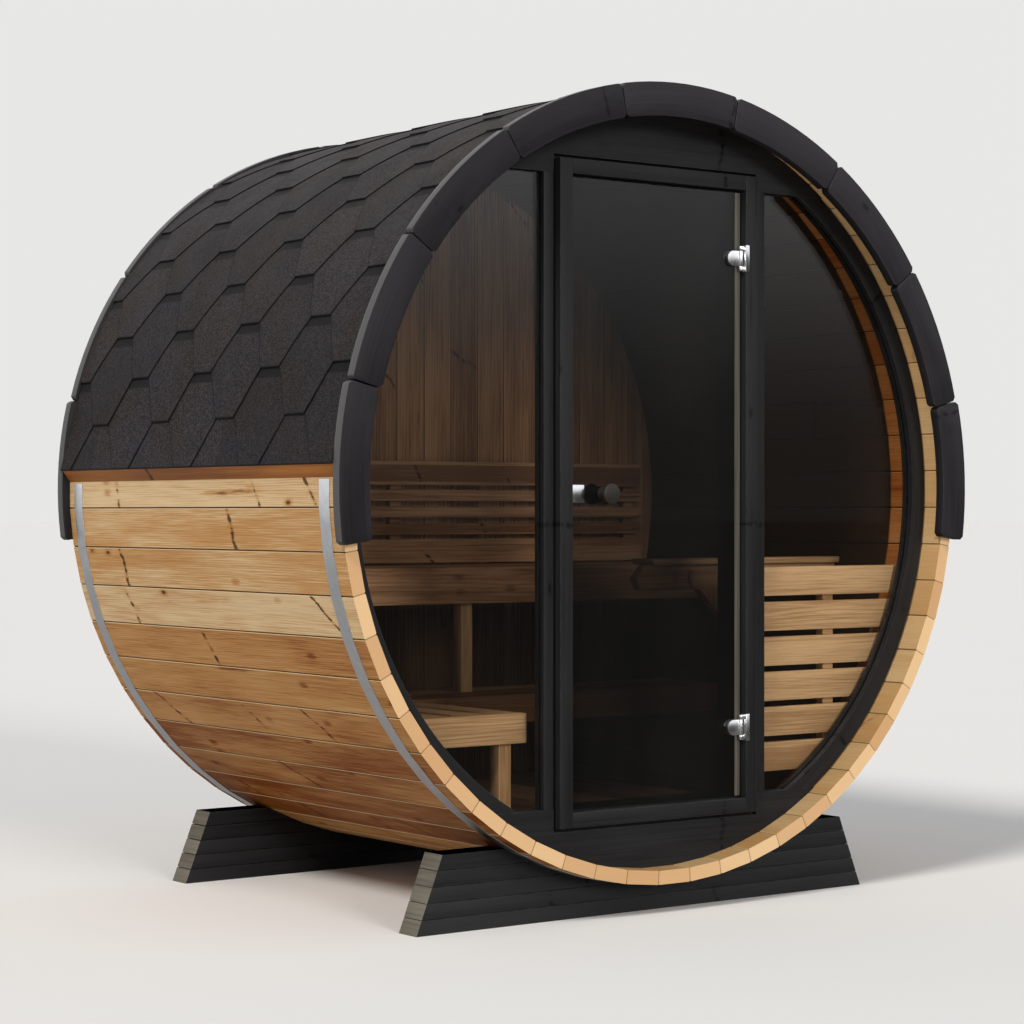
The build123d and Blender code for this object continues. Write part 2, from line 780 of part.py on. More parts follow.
# Hinges
clamp_round = clamp_height / 2
knuckle_low = clamp_height / 2 + knuckle_gap
for name, height in hinge_levels.items():
    level = axis_height + height
    with BuildPart() as plate:
        with BuildSketch(Plane.XY.offset(level - plate_height / 2)):
            with BuildLine():
                Polyline(
                    (frame_inner, frame_front),
                    (frame_inner + plate_width, frame_front),
                    (frame_inner + plate_width, frame_front - plate_thickness),
                    (frame_inner - plate_thickness, frame_front - plate_thickness),
                    (frame_inner - plate_thickness, pivot_y + knuckle_radius),
                    (frame_inner, pivot_y + knuckle_radius),
                    close=True,
                )
            make_face()
        extrude(amount=plate_height)
        for low in (level + knuckle_low, level - knuckle_low - knuckle_height):
            with BuildSketch(Plane.XY.offset(low)):
                with Locations((pivot_x, pivot_y)):
                    Circle(knuckle_radius)
                with Locations(((pivot_x + frame_inner) / 2, pivot_y)):
                    Rectangle(frame_inner - pivot_x, knuckle_radius)
            extrude(amount=knuckle_height)
        with BuildSketch(Plane.XY.offset(level - knuckle_low)):
            with Locations((pivot_x, pivot_y)):
                Circle(pin_radius)
        extrude(amount=2 * knuckle_low)
    plate.part.label = f"{name}_hinge_plate"
    export_step(plate.part, f"parts/{name}_hinge_plate.step")

    with BuildPart() as clamp:
        with BuildSketch(facing(leaf_front)):
            with Locations((pivot_x - clamp_length + clamp_round, height)):
                Circle(clamp_round)
            with Locations((pivot_x - (clamp_length - clamp_round) / 2, height)):
                Rectangle(clamp_length - clamp_round, clamp_height)
        extrude(amount=clamp_front_thickness)
        with BuildSketch(Plane.XY.offset(level - clamp_height / 2)):
            with Locations((pivot_x, pivot_y)):
                Circle(knuckle_radius)
        extrude(amount=clamp_height)
        with BuildSketch(Plane.XY.offset(level - clamp_height / 2)):
            with Locations((pivot_x, pivot_y)):
                Circle(pin_radius + pin_gap)
        extrude(amount=clamp_height, mode=Mode.SUBTRACT)
        with BuildSketch(facing(leaf_back + clamp_rear_thickness)):
            with Locations((pivot_x - clamp_length + clamp_round, height)):
                Circle(clamp_round)
            with Locations((pivot_x - clamp_length + clamp_round + knuckle_radius, height)):
                Rectangle(2 * knuckle_radius, clamp_height)
        extrude(amount=clamp_rear_thickness)
    clamp.part.label = f"{name}_hinge_clamp"
    export_step(clamp.part, f"parts/{name}_hinge_clamp.step")
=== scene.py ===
"""Barrel sauna: timber, shingles, paint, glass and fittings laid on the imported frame."""

import logging
import math
import random
from collections.abc import Callable
from dataclasses import dataclass, field
from enum import Enum

import bmesh
import bpy
from mathutils import Matrix, Vector

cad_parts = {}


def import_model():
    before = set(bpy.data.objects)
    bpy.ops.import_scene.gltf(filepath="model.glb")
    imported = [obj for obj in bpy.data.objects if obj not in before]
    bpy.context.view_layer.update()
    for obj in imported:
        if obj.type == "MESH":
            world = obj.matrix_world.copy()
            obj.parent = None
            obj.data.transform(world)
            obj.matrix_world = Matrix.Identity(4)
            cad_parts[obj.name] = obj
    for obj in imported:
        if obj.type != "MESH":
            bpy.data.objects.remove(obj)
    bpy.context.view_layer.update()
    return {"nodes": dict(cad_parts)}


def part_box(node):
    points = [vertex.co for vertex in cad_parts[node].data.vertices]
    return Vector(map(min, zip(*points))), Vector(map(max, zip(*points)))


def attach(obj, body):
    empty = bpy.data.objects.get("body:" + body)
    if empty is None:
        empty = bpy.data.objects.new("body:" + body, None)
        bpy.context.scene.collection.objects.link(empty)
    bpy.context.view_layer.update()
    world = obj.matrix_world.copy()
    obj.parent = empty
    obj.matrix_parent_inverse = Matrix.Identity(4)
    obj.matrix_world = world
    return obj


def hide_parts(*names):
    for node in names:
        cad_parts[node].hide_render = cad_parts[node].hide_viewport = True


LOG = logging.getLogger("barrel_sauna")

Triple = tuple[float, float, float]
Colour = Triple
Piece = bpy.types.Object
Material = bpy.types.Material
Tree = bpy.types.NodeTree
Node = bpy.types.Node

# The barrel lies along Y, and its front end is the one with the door
AXIS_HEIGHT = 1.076
FRONT_END = -0.675
BACK_END = 0.675
ACROSS = Vector((1.0, 0.0, 0.0))
DEEP = Vector((0.0, 1.0, 0.0))
UP = Vector((0.0, 0.0, 1.0))

# A shingle tab's pitch along Y, a course's exposure up the roof, and how far apart rows lie in the roof's map
TAB_PITCH = 0.324
COURSE = 0.1228
MAP_ROW = 3.0

# Where the staves change from weathered to sheltered and lapped timber, where painted shade darkens their room side,
# and where the back wall's painted shade ends
SHELTERED_RADIUS = 0.9735
ROOM_RADIUS = 0.985
ROOM_FRONT = (-0.480, -0.472)
ROOM_BACK = (0.60, 0.58)
LAP_START = 0.600
BACK_WALL_MIDDLE = 0.59

FACING_FRONT = Matrix.Rotation(math.radians(90.0), 4, "X")
FACING_BACK = Matrix.Rotation(math.radians(-90.0), 4, "X")


class GrainRun(Enum):
    """The way a board's grain runs."""

    ALONG_X = "along_x"
    ALONG_Y = "along_y"
    ALONG_Z = "along_z"
    ROUND = "round"


class BoardStep(Enum):
    """How one finish tells neighbouring boards apart."""

    NONE = "none"
    IN_X = "in_x"
    IN_Y = "in_y"
    IN_Z = "in_z"
    ROUND = "round"


# Mesh work


def object_mode() -> None:
    """Leaves edit mode."""
    bpy.ops.object.mode_set(mode="OBJECT")


def deselect() -> None:
    """Leaves object mode active and nothing selected."""
    if bpy.context.object and bpy.context.object.mode != "OBJECT":
        object_mode()
    bpy.ops.object.select_all(action="DESELECT")


def only(obj: Piece) -> None:
    """Selects one object and makes it active."""
    deselect()
    obj.select_set(True)
    bpy.context.view_layer.objects.active = obj


def edit(obj: Piece, kind: str = "VERT", action: str = "SELECT") -> None:
    """Opens a piece for editing with all or none of its parts selected.

    Args:
        obj: The piece.
        kind: "VERT", "EDGE" or "FACE".
        action: "SELECT" or "DESELECT".
    """
    only(obj)
    bpy.ops.object.mode_set(mode="EDIT")
    bpy.ops.mesh.select_mode(type=kind)
    bpy.ops.mesh.select_all(action=action)


def edit_where(obj: Piece, kind: str, wanted: Callable[[object], bool]) -> None:
    """Opens a piece for editing with only some of its parts selected.

    Args:
        obj: The piece.
        kind: "FACE" or "EDGE".
        wanted: Says whether a face or an edge is selected.
    """
    edit(obj, kind, "DESELECT")
    mesh = bmesh.from_edit_mesh(obj.data)
    for part in mesh.faces if kind == "FACE" else mesh.edges:
        part.select_set(wanted(part))
    bmesh.update_edit_mesh(obj.data)


def placed_primitive(name: str) -> Piece:
    """Names the new primitive and applies its place to its mesh.

    Args:
        name: The piece's name.

    Returns:
        The active object.
    """
    obj = bpy.context.object
    obj.name = obj.data.name = name
    bpy.ops.object.transform_apply(location=True, rotation=True, scale=True)
    return obj


def finish_modifier(obj: Piece, kind: str, **settings: object) -> None:
    """Adds a modifier with these settings and applies it.

    Args:
        obj: The piece.
        kind: The modifier's type.
        settings: Its settings by name.
    """
    only(obj)
    modifier = obj.modifiers.new(kind.lower(), kind)
    for key, value in settings.items():
        setattr(modifier, key, value)
    bpy.ops.object.modifier_apply(modifier=modifier.name)


def smoothed(obj: Piece, degrees: float) -> Piece:
    """Shades a piece smooth between its sharp edges.

    Args:
        obj: The piece.
        degrees: The least angle of a sharp edge.

    Returns:
        The same piece.
    """
    only(obj)
    bpy.ops.object.shade_smooth_by_angle(angle=math.radians(degrees))
    return obj


def rounded(obj: Piece, width: float, segments: int = 2) -> Piece:
    """Rounds a piece's sharp edges and shades it smooth between them.

    Args:
        obj: The piece.
        width: The rounding's width in metres.
        segments: Faces across the rounding.

    Returns:
        The same piece.
    """
    least = math.radians(30.0)
    finish_modifier(
        obj, "BEVEL", width=width, segments=segments, limit_method="ANGLE", angle_limit=least, miter_outer="MITER_ARC"
    )
    return smoothed(obj, 32.0)


def tidied(obj: Piece, threshold: float) -> None:
    """Merges a piece's doubled corners and turns its faces outwards.

    Args:
        obj: The piece.
        threshold: How near doubled corners are.
    """
    edit(obj)
    bpy.ops.mesh.remove_doubles(threshold=threshold)
    bpy.ops.mesh.normals_make_consistent(inside=False)
    object_mode()


def copied(obj: Piece, name: str) -> Piece:
    """A copy of a piece with its own mesh, at the same place.

    Args:
        obj: The piece.
        name: The copy's name.

    Returns:
        The copy.
    """
    twin = bpy.data.objects.new(name, obj.data.copy())
    bpy.context.scene.collection.objects.link(twin)
    return twin


def cad_copy(node: Piece, name: str) -> Piece:
    """A copy of a CAD node with its loose triangles merged into faces.

    Args:
        node: The CAD node, which is left alone.
        name: The copy's name.

    Returns:
        The copy, with no material.
    """
    obj = copied(node, name)
    obj.data.materials.clear()
    edit(obj)
    bpy.ops.mesh.remove_doubles(threshold=0.00001)
    bpy.ops.mesh.dissolve_limited(angle_limit=math.radians(0.5))
    object_mode()
    if obj.data.has_custom_normals:
        bpy.ops.mesh.customdata_custom_splitnormals_clear()
    return obj


def cut(obj: Piece, place: Vector, normal: Vector, **settings: bool) -> None:
    """Cuts a piece along a plane.

    Args:
        obj: The piece.
        place: A point of the plane.
        normal: The plane's normal.
        settings: Which side is taken away, and whether the cut is closed.
    """
    edit(obj)
    bpy.ops.mesh.bisect(plane_co=place, plane_no=normal, **settings)
    object_mode()


def keep_between(obj: Piece, normal: Vector, low: float | None, high: float | None) -> bool:
    """Cuts a closed piece down to the slice between two planes and closes the cuts.

    Args:
        obj: The piece.
        normal: The planes' normal.
        low: Where the slice starts along the normal, or None.
        high: Where it ends, or None.

    Returns:
        Whether anything is left.
    """
    for place, below in ((low, True), (high, False)):
        if place is not None:
            cut(obj, normal * place, normal, use_fill=True, clear_inner=below, clear_outer=not below)
    return len(obj.data.polygons) > 3


def joined(parts: list[Piece], name: str) -> Piece:
    """Joins pieces, which are used up, into one mesh.

    Args:
        parts: The pieces.
        name: The new piece's name.

    Returns:
        The joined piece.
    """
    deselect()
    for part in parts:
        part.select_set(True)
    whole = bpy.context.view_layer.objects.active = parts[0]
    if len(parts) > 1:
        bpy.ops.object.join()
    whole.name = whole.data.name = name
    return whole


def boards_of(node: Piece, name: str, normal: Vector, cuts: list[float], gap: float, edge: float) -> Piece:
    """Saws a CAD node's solid into boards with a narrow gap between them.

    Args:
        node: The CAD node or a merged copy of one.
        name: The new piece's name.
        normal: The direction across the boards.
        cuts: The joints' places along that direction.
        gap: The gap between boards.
        edge: The width of the rounding along their edges.

    Returns:
        The boards as one piece.
    """
    parts = []
    for index, (low, high) in enumerate(zip(cuts, cuts[1:])):
        board = cad_copy(node, f"{name}_{index}")
        if keep_between(board, normal, low + gap / 2, high - gap / 2):
            parts.append(board)
        else:
            bpy.data.objects.remove(board)
    return rounded(joined(parts, name), edge)


def steps(low: float, high: float, count: int) -> list[float]:
    """Evenly spaced places from low to high with count spaces between them."""
    return [low + (high - low) * index / count for index in range(count + 1)]


def placed_copies(seed: Piece, places: list[Matrix], name: str) -> Piece:
    """Repeats one modelled piece at many places as one joined mesh.

    Args:
        seed: The piece, modelled at the origin. It is used up.
        places: Where each copy goes.
        name: The new piece's name.

    Returns:
        The joined copies.
    """
    parts = []
    for index, place in enumerate(places):
        part = copied(seed, f"{name}_{index}")
        part.data.transform(place)
        parts.append(part)
    bpy.data.objects.remove(seed)
    return joined(parts, name)


def put(obj: Piece, material: Material) -> None:
    """Gives a piece one material and nothing else."""
    obj.data.materials.clear()
    obj.data.materials.append(material)


def polar(radius: float, turn: float) -> tuple[float, float]:
    """Sideways and upward place at a radius and angle round the barrel axis."""
    return radius * math.cos(turn), radius * math.sin(turn)


def shade(colour: Colour, share: float) -> Colour:
    """A darker colour of the same hue."""
    return tuple(channel * share for channel in colour)


# Nodes


class Wire:
    """A node's output that can be summed, compared and eased."""

    def __init__(self, sheet: "NodeSheet", node: Node, output: int | str = 0) -> None:
        """Keeps the sheet and the output."""
        self.sheet, self.socket = sheet, node.outputs[output]

    def math(self, operation: str, other: object = 0.0) -> "Wire":
        """A math node's result."""
        return self.sheet.math(operation, self, other)

    def __add__(self, other: object) -> "Wire":
        """The sum."""
        return self.math("ADD", other)

    def __sub__(self, other: object) -> "Wire":
        """The difference."""
        return self.math("SUBTRACT", other)

    def __rsub__(self, other: float) -> "Wire":
        """The difference from a number."""
        return self.sheet.math("SUBTRACT", other, self)

    def __mul__(self, other: object) -> "Wire":
        """The product."""
        return self.math("MULTIPLY", other)

    def __truediv__(self, other: object) -> "Wire":
        """The quotient."""
        return self.math("DIVIDE", other)

    def __abs__(self) -> "Wire":
        """The value without its sign."""
        return self.math("ABSOLUTE")

    def below(self, limit: object) -> "Wire":
        """1 where the value is less than the limit."""
        return self.math("LESS_THAN", limit)

    def above(self, limit: object) -> "Wire":
        """1 where the value is more than the limit."""
        return self.math("GREATER_THAN", limit)

    def or_more(self, other: "Wire") -> "Wire":
        """The larger of two values."""
        return self.math("MAXIMUM", other)

    def span(self, low: float, high: float, start: float = 0.0, end: float = 1.0) -> "Wire":
        """The value eased from low and high to start and end."""
        kind = "ShaderNodeMapRange"
        return Wire(self.sheet, self.sheet.add(kind, self, low, high, start, end, interpolation_type="SMOOTHSTEP"))

    def stretched(self, *shares: float) -> "Wire":
        """The vector with each of its three values multiplied."""
        return Wire(self.sheet, self.sheet.add("ShaderNodeVectorMath", self, shares, operation="MULTIPLY"))

    def split(self) -> list["Wire"]:
        """The vector's three values."""
        node = self.sheet.add("ShaderNodeSeparateXYZ", self)
        return [Wire(self.sheet, node, index) for index in range(3)]


class NodeSheet:
    """Short calls that add nodes to one tree and join them."""

    def __init__(self, tree: Tree) -> None:
        """Keeps the tree."""
        self.tree = tree

    def feed(self, target: bpy.types.NodeSocket, value: object) -> None:
        """Links a wire to an input, or writes a plain value on it.

        Args:
            target: The input socket.
            value: A wire, a number or a colour.
        """
        if isinstance(value, Wire):
            self.tree.links.new(value.socket, target)
        elif isinstance(value, tuple) and target.type == "RGBA":
            target.default_value = (*value[:3], 1.0)
        else:
            target.default_value = value

    def add(self, kind: str, *values: object, **settings: object) -> Node:
        """Adds a node.

        Args:
            kind: The node's type.
            values: What its first inputs get.
            settings: Its settings by name.

        Returns:
            The node.
        """
        node = self.tree.nodes.new(kind)
        for key, value in settings.items():
            setattr(node, key, value)
        for socket, value in zip(node.inputs, values):
            self.feed(socket, value)
        return node

    def fill(self, node: Node, **values: object) -> Node:
        """Feeds a node's inputs by name.

        Args:
            node: The node.
            values: Values or wires by input name, underscores standing for spaces.

        Returns:
            The same node.
        """
        for label, value in values.items():
            self.feed(node.inputs[label.replace("_", " ")], value)
        return node

    def math(self, operation: str, first: object, second: object) -> Wire:
        """A math node's result."""
        return Wire(self, self.add("ShaderNodeMath", first, second, operation=operation))

    def join(self, x: object, y: object, z: object) -> Wire:
        """Three values as one vector."""
        return Wire(self, self.add("ShaderNodeCombineXYZ", x, y, z))

    def place(self, kind: str = "Object") -> Wire:
        """A point's place on the object, or in its own map."""
        return Wire(self, self.add("ShaderNodeTexCoord"), kind)

    def normal(self) -> Wire:
        """The way the surface looks."""
        return Wire(self, self.add("ShaderNodeNewGeometry"), "Normal")

    def mix(self, factor: object, first: object, second: object, blend: str = "MIX") -> Wire:
        """A mix of two colours.

        Args:
            factor: How much of the second colour.
            first: The first colour.
            second: The second colour.
            blend: The blend type.

        Returns:
            The mixed colour.
        """
        node = self.add("ShaderNodeMix", factor, data_type="RGBA", blend_type=blend)
        self.feed(node.inputs[6], first)
        self.feed(node.inputs[7], second)
        return Wire(self, node, 2)

    def tinted(self, colour: Wire, tint: Colour) -> Wire:
        """A colour multiplied by another."""
        return self.mix(1.0, colour, tint, "MULTIPLY")

    def noise(self, place: Wire, detail: float, rough: float = 0.55, scale: object = 1.0) -> Wire:
        """A noise value from 0 to 1, with its octaves, their strength and its scale."""
        node = self.add("ShaderNodeTexNoise")
        return Wire(self, self.fill(node, Vector=place, Scale=scale, Detail=detail, Roughness=rough))

    def cells(self, place: Wire, scale: float = 1.0) -> tuple[Wire, Wire]:
        """Distance to the nearest cell centre, and that cell's own colour."""
        node = self.fill(self.add("ShaderNodeTexVoronoi"), Vector=place, Scale=scale)
        return Wire(self, node, "Distance"), Wire(self, node, "Color")

    def chance(self, *values: object) -> tuple[Wire, Wire]:
        """A random value and a random colour, the same for the same three values."""
        node = self.fill(self.add("ShaderNodeTexWhiteNoise", noise_dimensions="3D"), Vector=self.join(*values))
        return Wire(self, node, "Value"), Wire(self, node, "Color")

    def group(self, tree: Tree, **values: object) -> dict[str, Wire]:
        """Places a shared group with its own values and returns its outputs by name."""
        node = self.fill(self.add("ShaderNodeGroup", node_tree=tree), **values)
        return {output.name: Wire(self, node, output.name) for output in node.outputs}


class GroupSheet(NodeSheet):
    """The sheet of a new shared group."""

    def __init__(self, name: str, **inputs: object) -> None:
        """Starts the group.

        Args:
            name: The group's name.
            inputs: Default values by input name, underscores standing for spaces.
        """
        super().__init__(bpy.data.node_groups.new(name, "ShaderNodeTree"))
        for label, value in inputs.items():
            kind = "NodeSocketVector" if isinstance(value, tuple) else "NodeSocketFloat"
            socket = self.tree.interface.new_socket(name=label.replace("_", " "), in_out="INPUT", socket_type=kind)
            socket.default_value = value
        source = self.add("NodeGroupInput")
        self.given = {label: Wire(self, source, label.replace("_", " ")) for label in inputs}

    def give(self, **results: Wire) -> Tree:
        """Makes an output for each result.

        Args:
            results: Wires by output name, underscores standing for spaces.

        Returns:
            The finished group.
        """
        for label in results:
            label = label.replace("_", " ")
            self.tree.interface.new_socket(name=label, in_out="OUTPUT", socket_type="NodeSocketFloat")
        self.add("NodeGroupOutput", *results.values())
        return self.tree


@dataclass(frozen=True)
class TimberGrain:
    """Grain, fibres, streaks and knots from a place given as across, along and deep."""

    branch_spacing: float = 0.37
    line_share: float = 0.30
    dot_share: float = 0.13
    fleck_share: float = 0.11
    dot_stretch: Triple = (23.0, 11.0, 23.0)
    fleck_stretch: Triple = (26.0, 1.7, 26.0)
    rag_stretch: Triple = (240.0, 30.0, 240.0)
    ring_stretch: Triple = (6.0, 0.8, 6.0)
    fibre_stretch: Triple = (380.0, 8.0, 380.0)
    streak_stretch: Triple = (85.0, 1.9, 85.0)
    cloud_stretch: Triple = (9.0, 1.6, 9.0)

    def branches(self, sheet: GroupSheet) -> tuple[Wire, Wire]:
        """A branch sawn lengthwise, which shows as a broken line across the board.

        Args:
            sheet: The group's sheet.

        Returns:
            The line and the darker timber round it.
        """
        across, along, _ = sheet.given["Place"].split()
        board = sheet.given["Board"]
        cell = (along / self.branch_spacing).math("FLOOR")
        jitter, lean, pick = sheet.chance(cell, board, 7.3)[1].split()
        middle = (cell + 0.2 + jitter * 0.6) * self.branch_spacing
        sway = sheet.noise(sheet.join(across * 14.0, cell, board), 1.5)
        middle = middle + (sway - 0.5) * 0.05 - (lean + 0.1) * sheet.given["Off_Middle"]
        away = abs(along - middle)
        shown = pick.below(sheet.given["Knots"] * self.line_share)
        broken = sheet.noise(sheet.join(across * 62.0, cell, lean), 2.0) + jitter.span(0.0, 1.0, -0.05, 0.07)
        width = broken.span(0.46, 0.70, 0.0010, 0.0085)
        line = (away - width).span(0.0008, -0.0008) * broken.span(0.47, 0.53) * shown
        return line, away.span(0.013, 0.001) * broken.span(0.30, 0.58) * shown

    def dots(self, sheet: GroupSheet) -> tuple[Wire, Wire]:
        """Small round knots.

        Args:
            sheet: The group's sheet.

        Returns:
            The knots and the darker timber round them.
        """
        dot, tint = sheet.cells(sheet.given["Place"].stretched(*self.dot_stretch))
        size, luck, _ = tint.split()
        shown = luck.below(sheet.given["Knots"] * self.dot_share)
        return (dot - size.span(0.0, 1.0, 0.0, 0.09)).span(0.05, 0.02) * shown, dot.span(0.34, 0.08) * shown

    def flecks(self, sheet: GroupSheet) -> tuple[Wire, Wire]:
        """Long dark flecks that lie with the grain.

        Args:
            sheet: The group's sheet.

        Returns:
            The flecks and the darker timber round them.
        """
        place = sheet.given["Place"]
        fleck, tint = sheet.cells(place.stretched(*self.fleck_stretch))
        shown = tint.split()[2].below(sheet.given["Knots"] * self.fleck_share)
        away = fleck + (sheet.noise(place.stretched(*self.rag_stretch), 2.0) - 0.5) * 0.16
        return away.span(0.10, 0.03) * shown, away.span(0.26, 0.06) * shown

    def build(self) -> Tree:
        """Makes the group, whose growth rings run nearly straight and swell round the knots.

        Returns:
            The group.
        """
        sheet = GroupSheet(
            "timber_grain", Place=(0.0, 0.0, 0.0), Board=0.0, Off_Middle=0.0, Ring_Width=0.012, Knots=1.0, Waver=0.03
        )
        place = sheet.given["Place"]
        line, line_halo = self.branches(sheet)
        dot, dot_halo = self.dots(sheet)
        fleck, fleck_halo = self.flecks(sheet)
        halo = line_halo.or_more(dot_halo).or_more(fleck_halo)
        slow = sheet.noise(place.stretched(*self.ring_stretch), 1.5, 0.4)
        contour = place.split()[0] + (slow * sheet.given["Waver"] + halo * 0.004)
        fibres = sheet.noise(place.stretched(*self.fibre_stretch), 2.0)
        return sheet.give(
            Rings=(contour * 6.283 / sheet.given["Ring_Width"]).math("SINE").span(0.1, 1.0),
            Fibres=fibres,
            Streaks=sheet.noise(place.stretched(*self.streak_stretch), 4.0, 0.68),
            Clouds=sheet.noise(place.stretched(*self.cloud_stretch), 2.0),
            Knot=line.or_more(dot).or_more(fleck * 0.75),
            Halo=halo,
            Height=fibres * 0.85,
        )


class SharedGroups:
    """The groups that more than one finish uses."""

    def __init__(self) -> None:
        """Builds each group once."""
        self.place = self.barrel_place()
        self.grain = TimberGrain().build()
        self.wear = self.edge_wear()
        self.dust = self.settled_dust()

    @staticmethod
    def barrel_place() -> Tree:
        """Where a point lies round the barrel: its turn from the bottom, its radius, its turn from the top.

        Returns:
            The group.
        """
        sheet = GroupSheet("barrel_place")
        x, _, z = sheet.place().split()
        height = z - AXIS_HEIGHT
        radius = (x * x + height * height).math("SQRT")
        return sheet.give(Turn=x.math("ARCTAN2", height * -1.0), Radius=radius, Top_Turn=x.math("ARCTAN2", height))

    @staticmethod
    def edge_wear() -> Tree:
        """How far an edge is worn, broken up by noise.

        Returns:
            The group.
        """
        sheet = GroupSheet("edge_wear", Reach=0.003, Breakup=60.0)
        bevel = sheet.fill(sheet.add("ShaderNodeBevel", samples=4), Radius=sheet.given["Reach"])
        turned = sheet.add("ShaderNodeVectorMath", Wire(sheet, bevel), sheet.normal(), operation="DOT_PRODUCT")
        breakup = sheet.noise(sheet.place(), 2.0, 0.5, sheet.given["Breakup"])
        return sheet.give(Wear=Wire(sheet, turned, "Value").span(0.985, 0.8) * breakup.span(0.35, 0.65))

    @staticmethod
    def settled_dust() -> Tree:
        """Dust that lies on faces that look up, in soft patches.

        Returns:
            The group.
        """
        sheet = GroupSheet("settled_dust", Amount=0.4)
        up = sheet.normal().split()[2].span(0.2, 0.95)
        spot = sheet.place()
        patches = sheet.noise(spot, 4.0, 0.6, 7.0).span(0.3, 0.7)
        speck = sheet.noise(spot, 2.0, scale=220.0).span(0.4, 0.7)
        return sheet.give(Dust=(patches + speck * 0.5) * up * sheet.given["Amount"])


# Finishes


class MaterialSheet(NodeSheet):
    """The sheet of a new material, with its Principled shader and the shared groups."""

    def __init__(self, name: str, groups: SharedGroups | None = None) -> None:
        """Starts the material.

        Args:
            name: The material's name.
            groups: The shared groups, if the material uses any.
        """
        self.material = bpy.data.materials.new(name)
        self.material.use_nodes = True
        super().__init__(self.material.node_tree)
        self.shader = self.tree.nodes["Principled BSDF"]
        self.groups = groups

    def surface(self, **values: object) -> None:
        """Feeds the shader's inputs by name, underscores standing for spaces."""
        self.fill(self.shader, **values)

    def bump(self, height: Wire, strength: float, distance: float) -> None:
        """Roughens the surface by a height."""
        bump = self.fill(self.add("ShaderNodeBump"), Strength=strength, Distance=distance, Height=height)
        self.surface(Normal=Wire(self, bump))

    def dusted(self, colour: Wire, amount: float, dust: Colour) -> Wire:
        """A colour with dust lying on it."""
        return self.mix(self.group(self.groups.dust, Amount=amount)["Dust"], colour, dust)


@dataclass(frozen=True)
class Finish:
    """A named finish and the name of its slot."""

    name: str
    slot: str = field(default="", kw_only=True)

    def paint(self, sheet: MaterialSheet) -> None:
        """Lays out the finish's nodes.

        Args:
            sheet: The new material's sheet.
        """
        raise NotImplementedError

    def build(self, groups: SharedGroups) -> Material:
        """Makes the material.

        Args:
            groups: The shared groups.

        Returns:
            The material.
        """
        sheet = MaterialSheet(self.name, groups)
        self.paint(sheet)
        return sheet.material


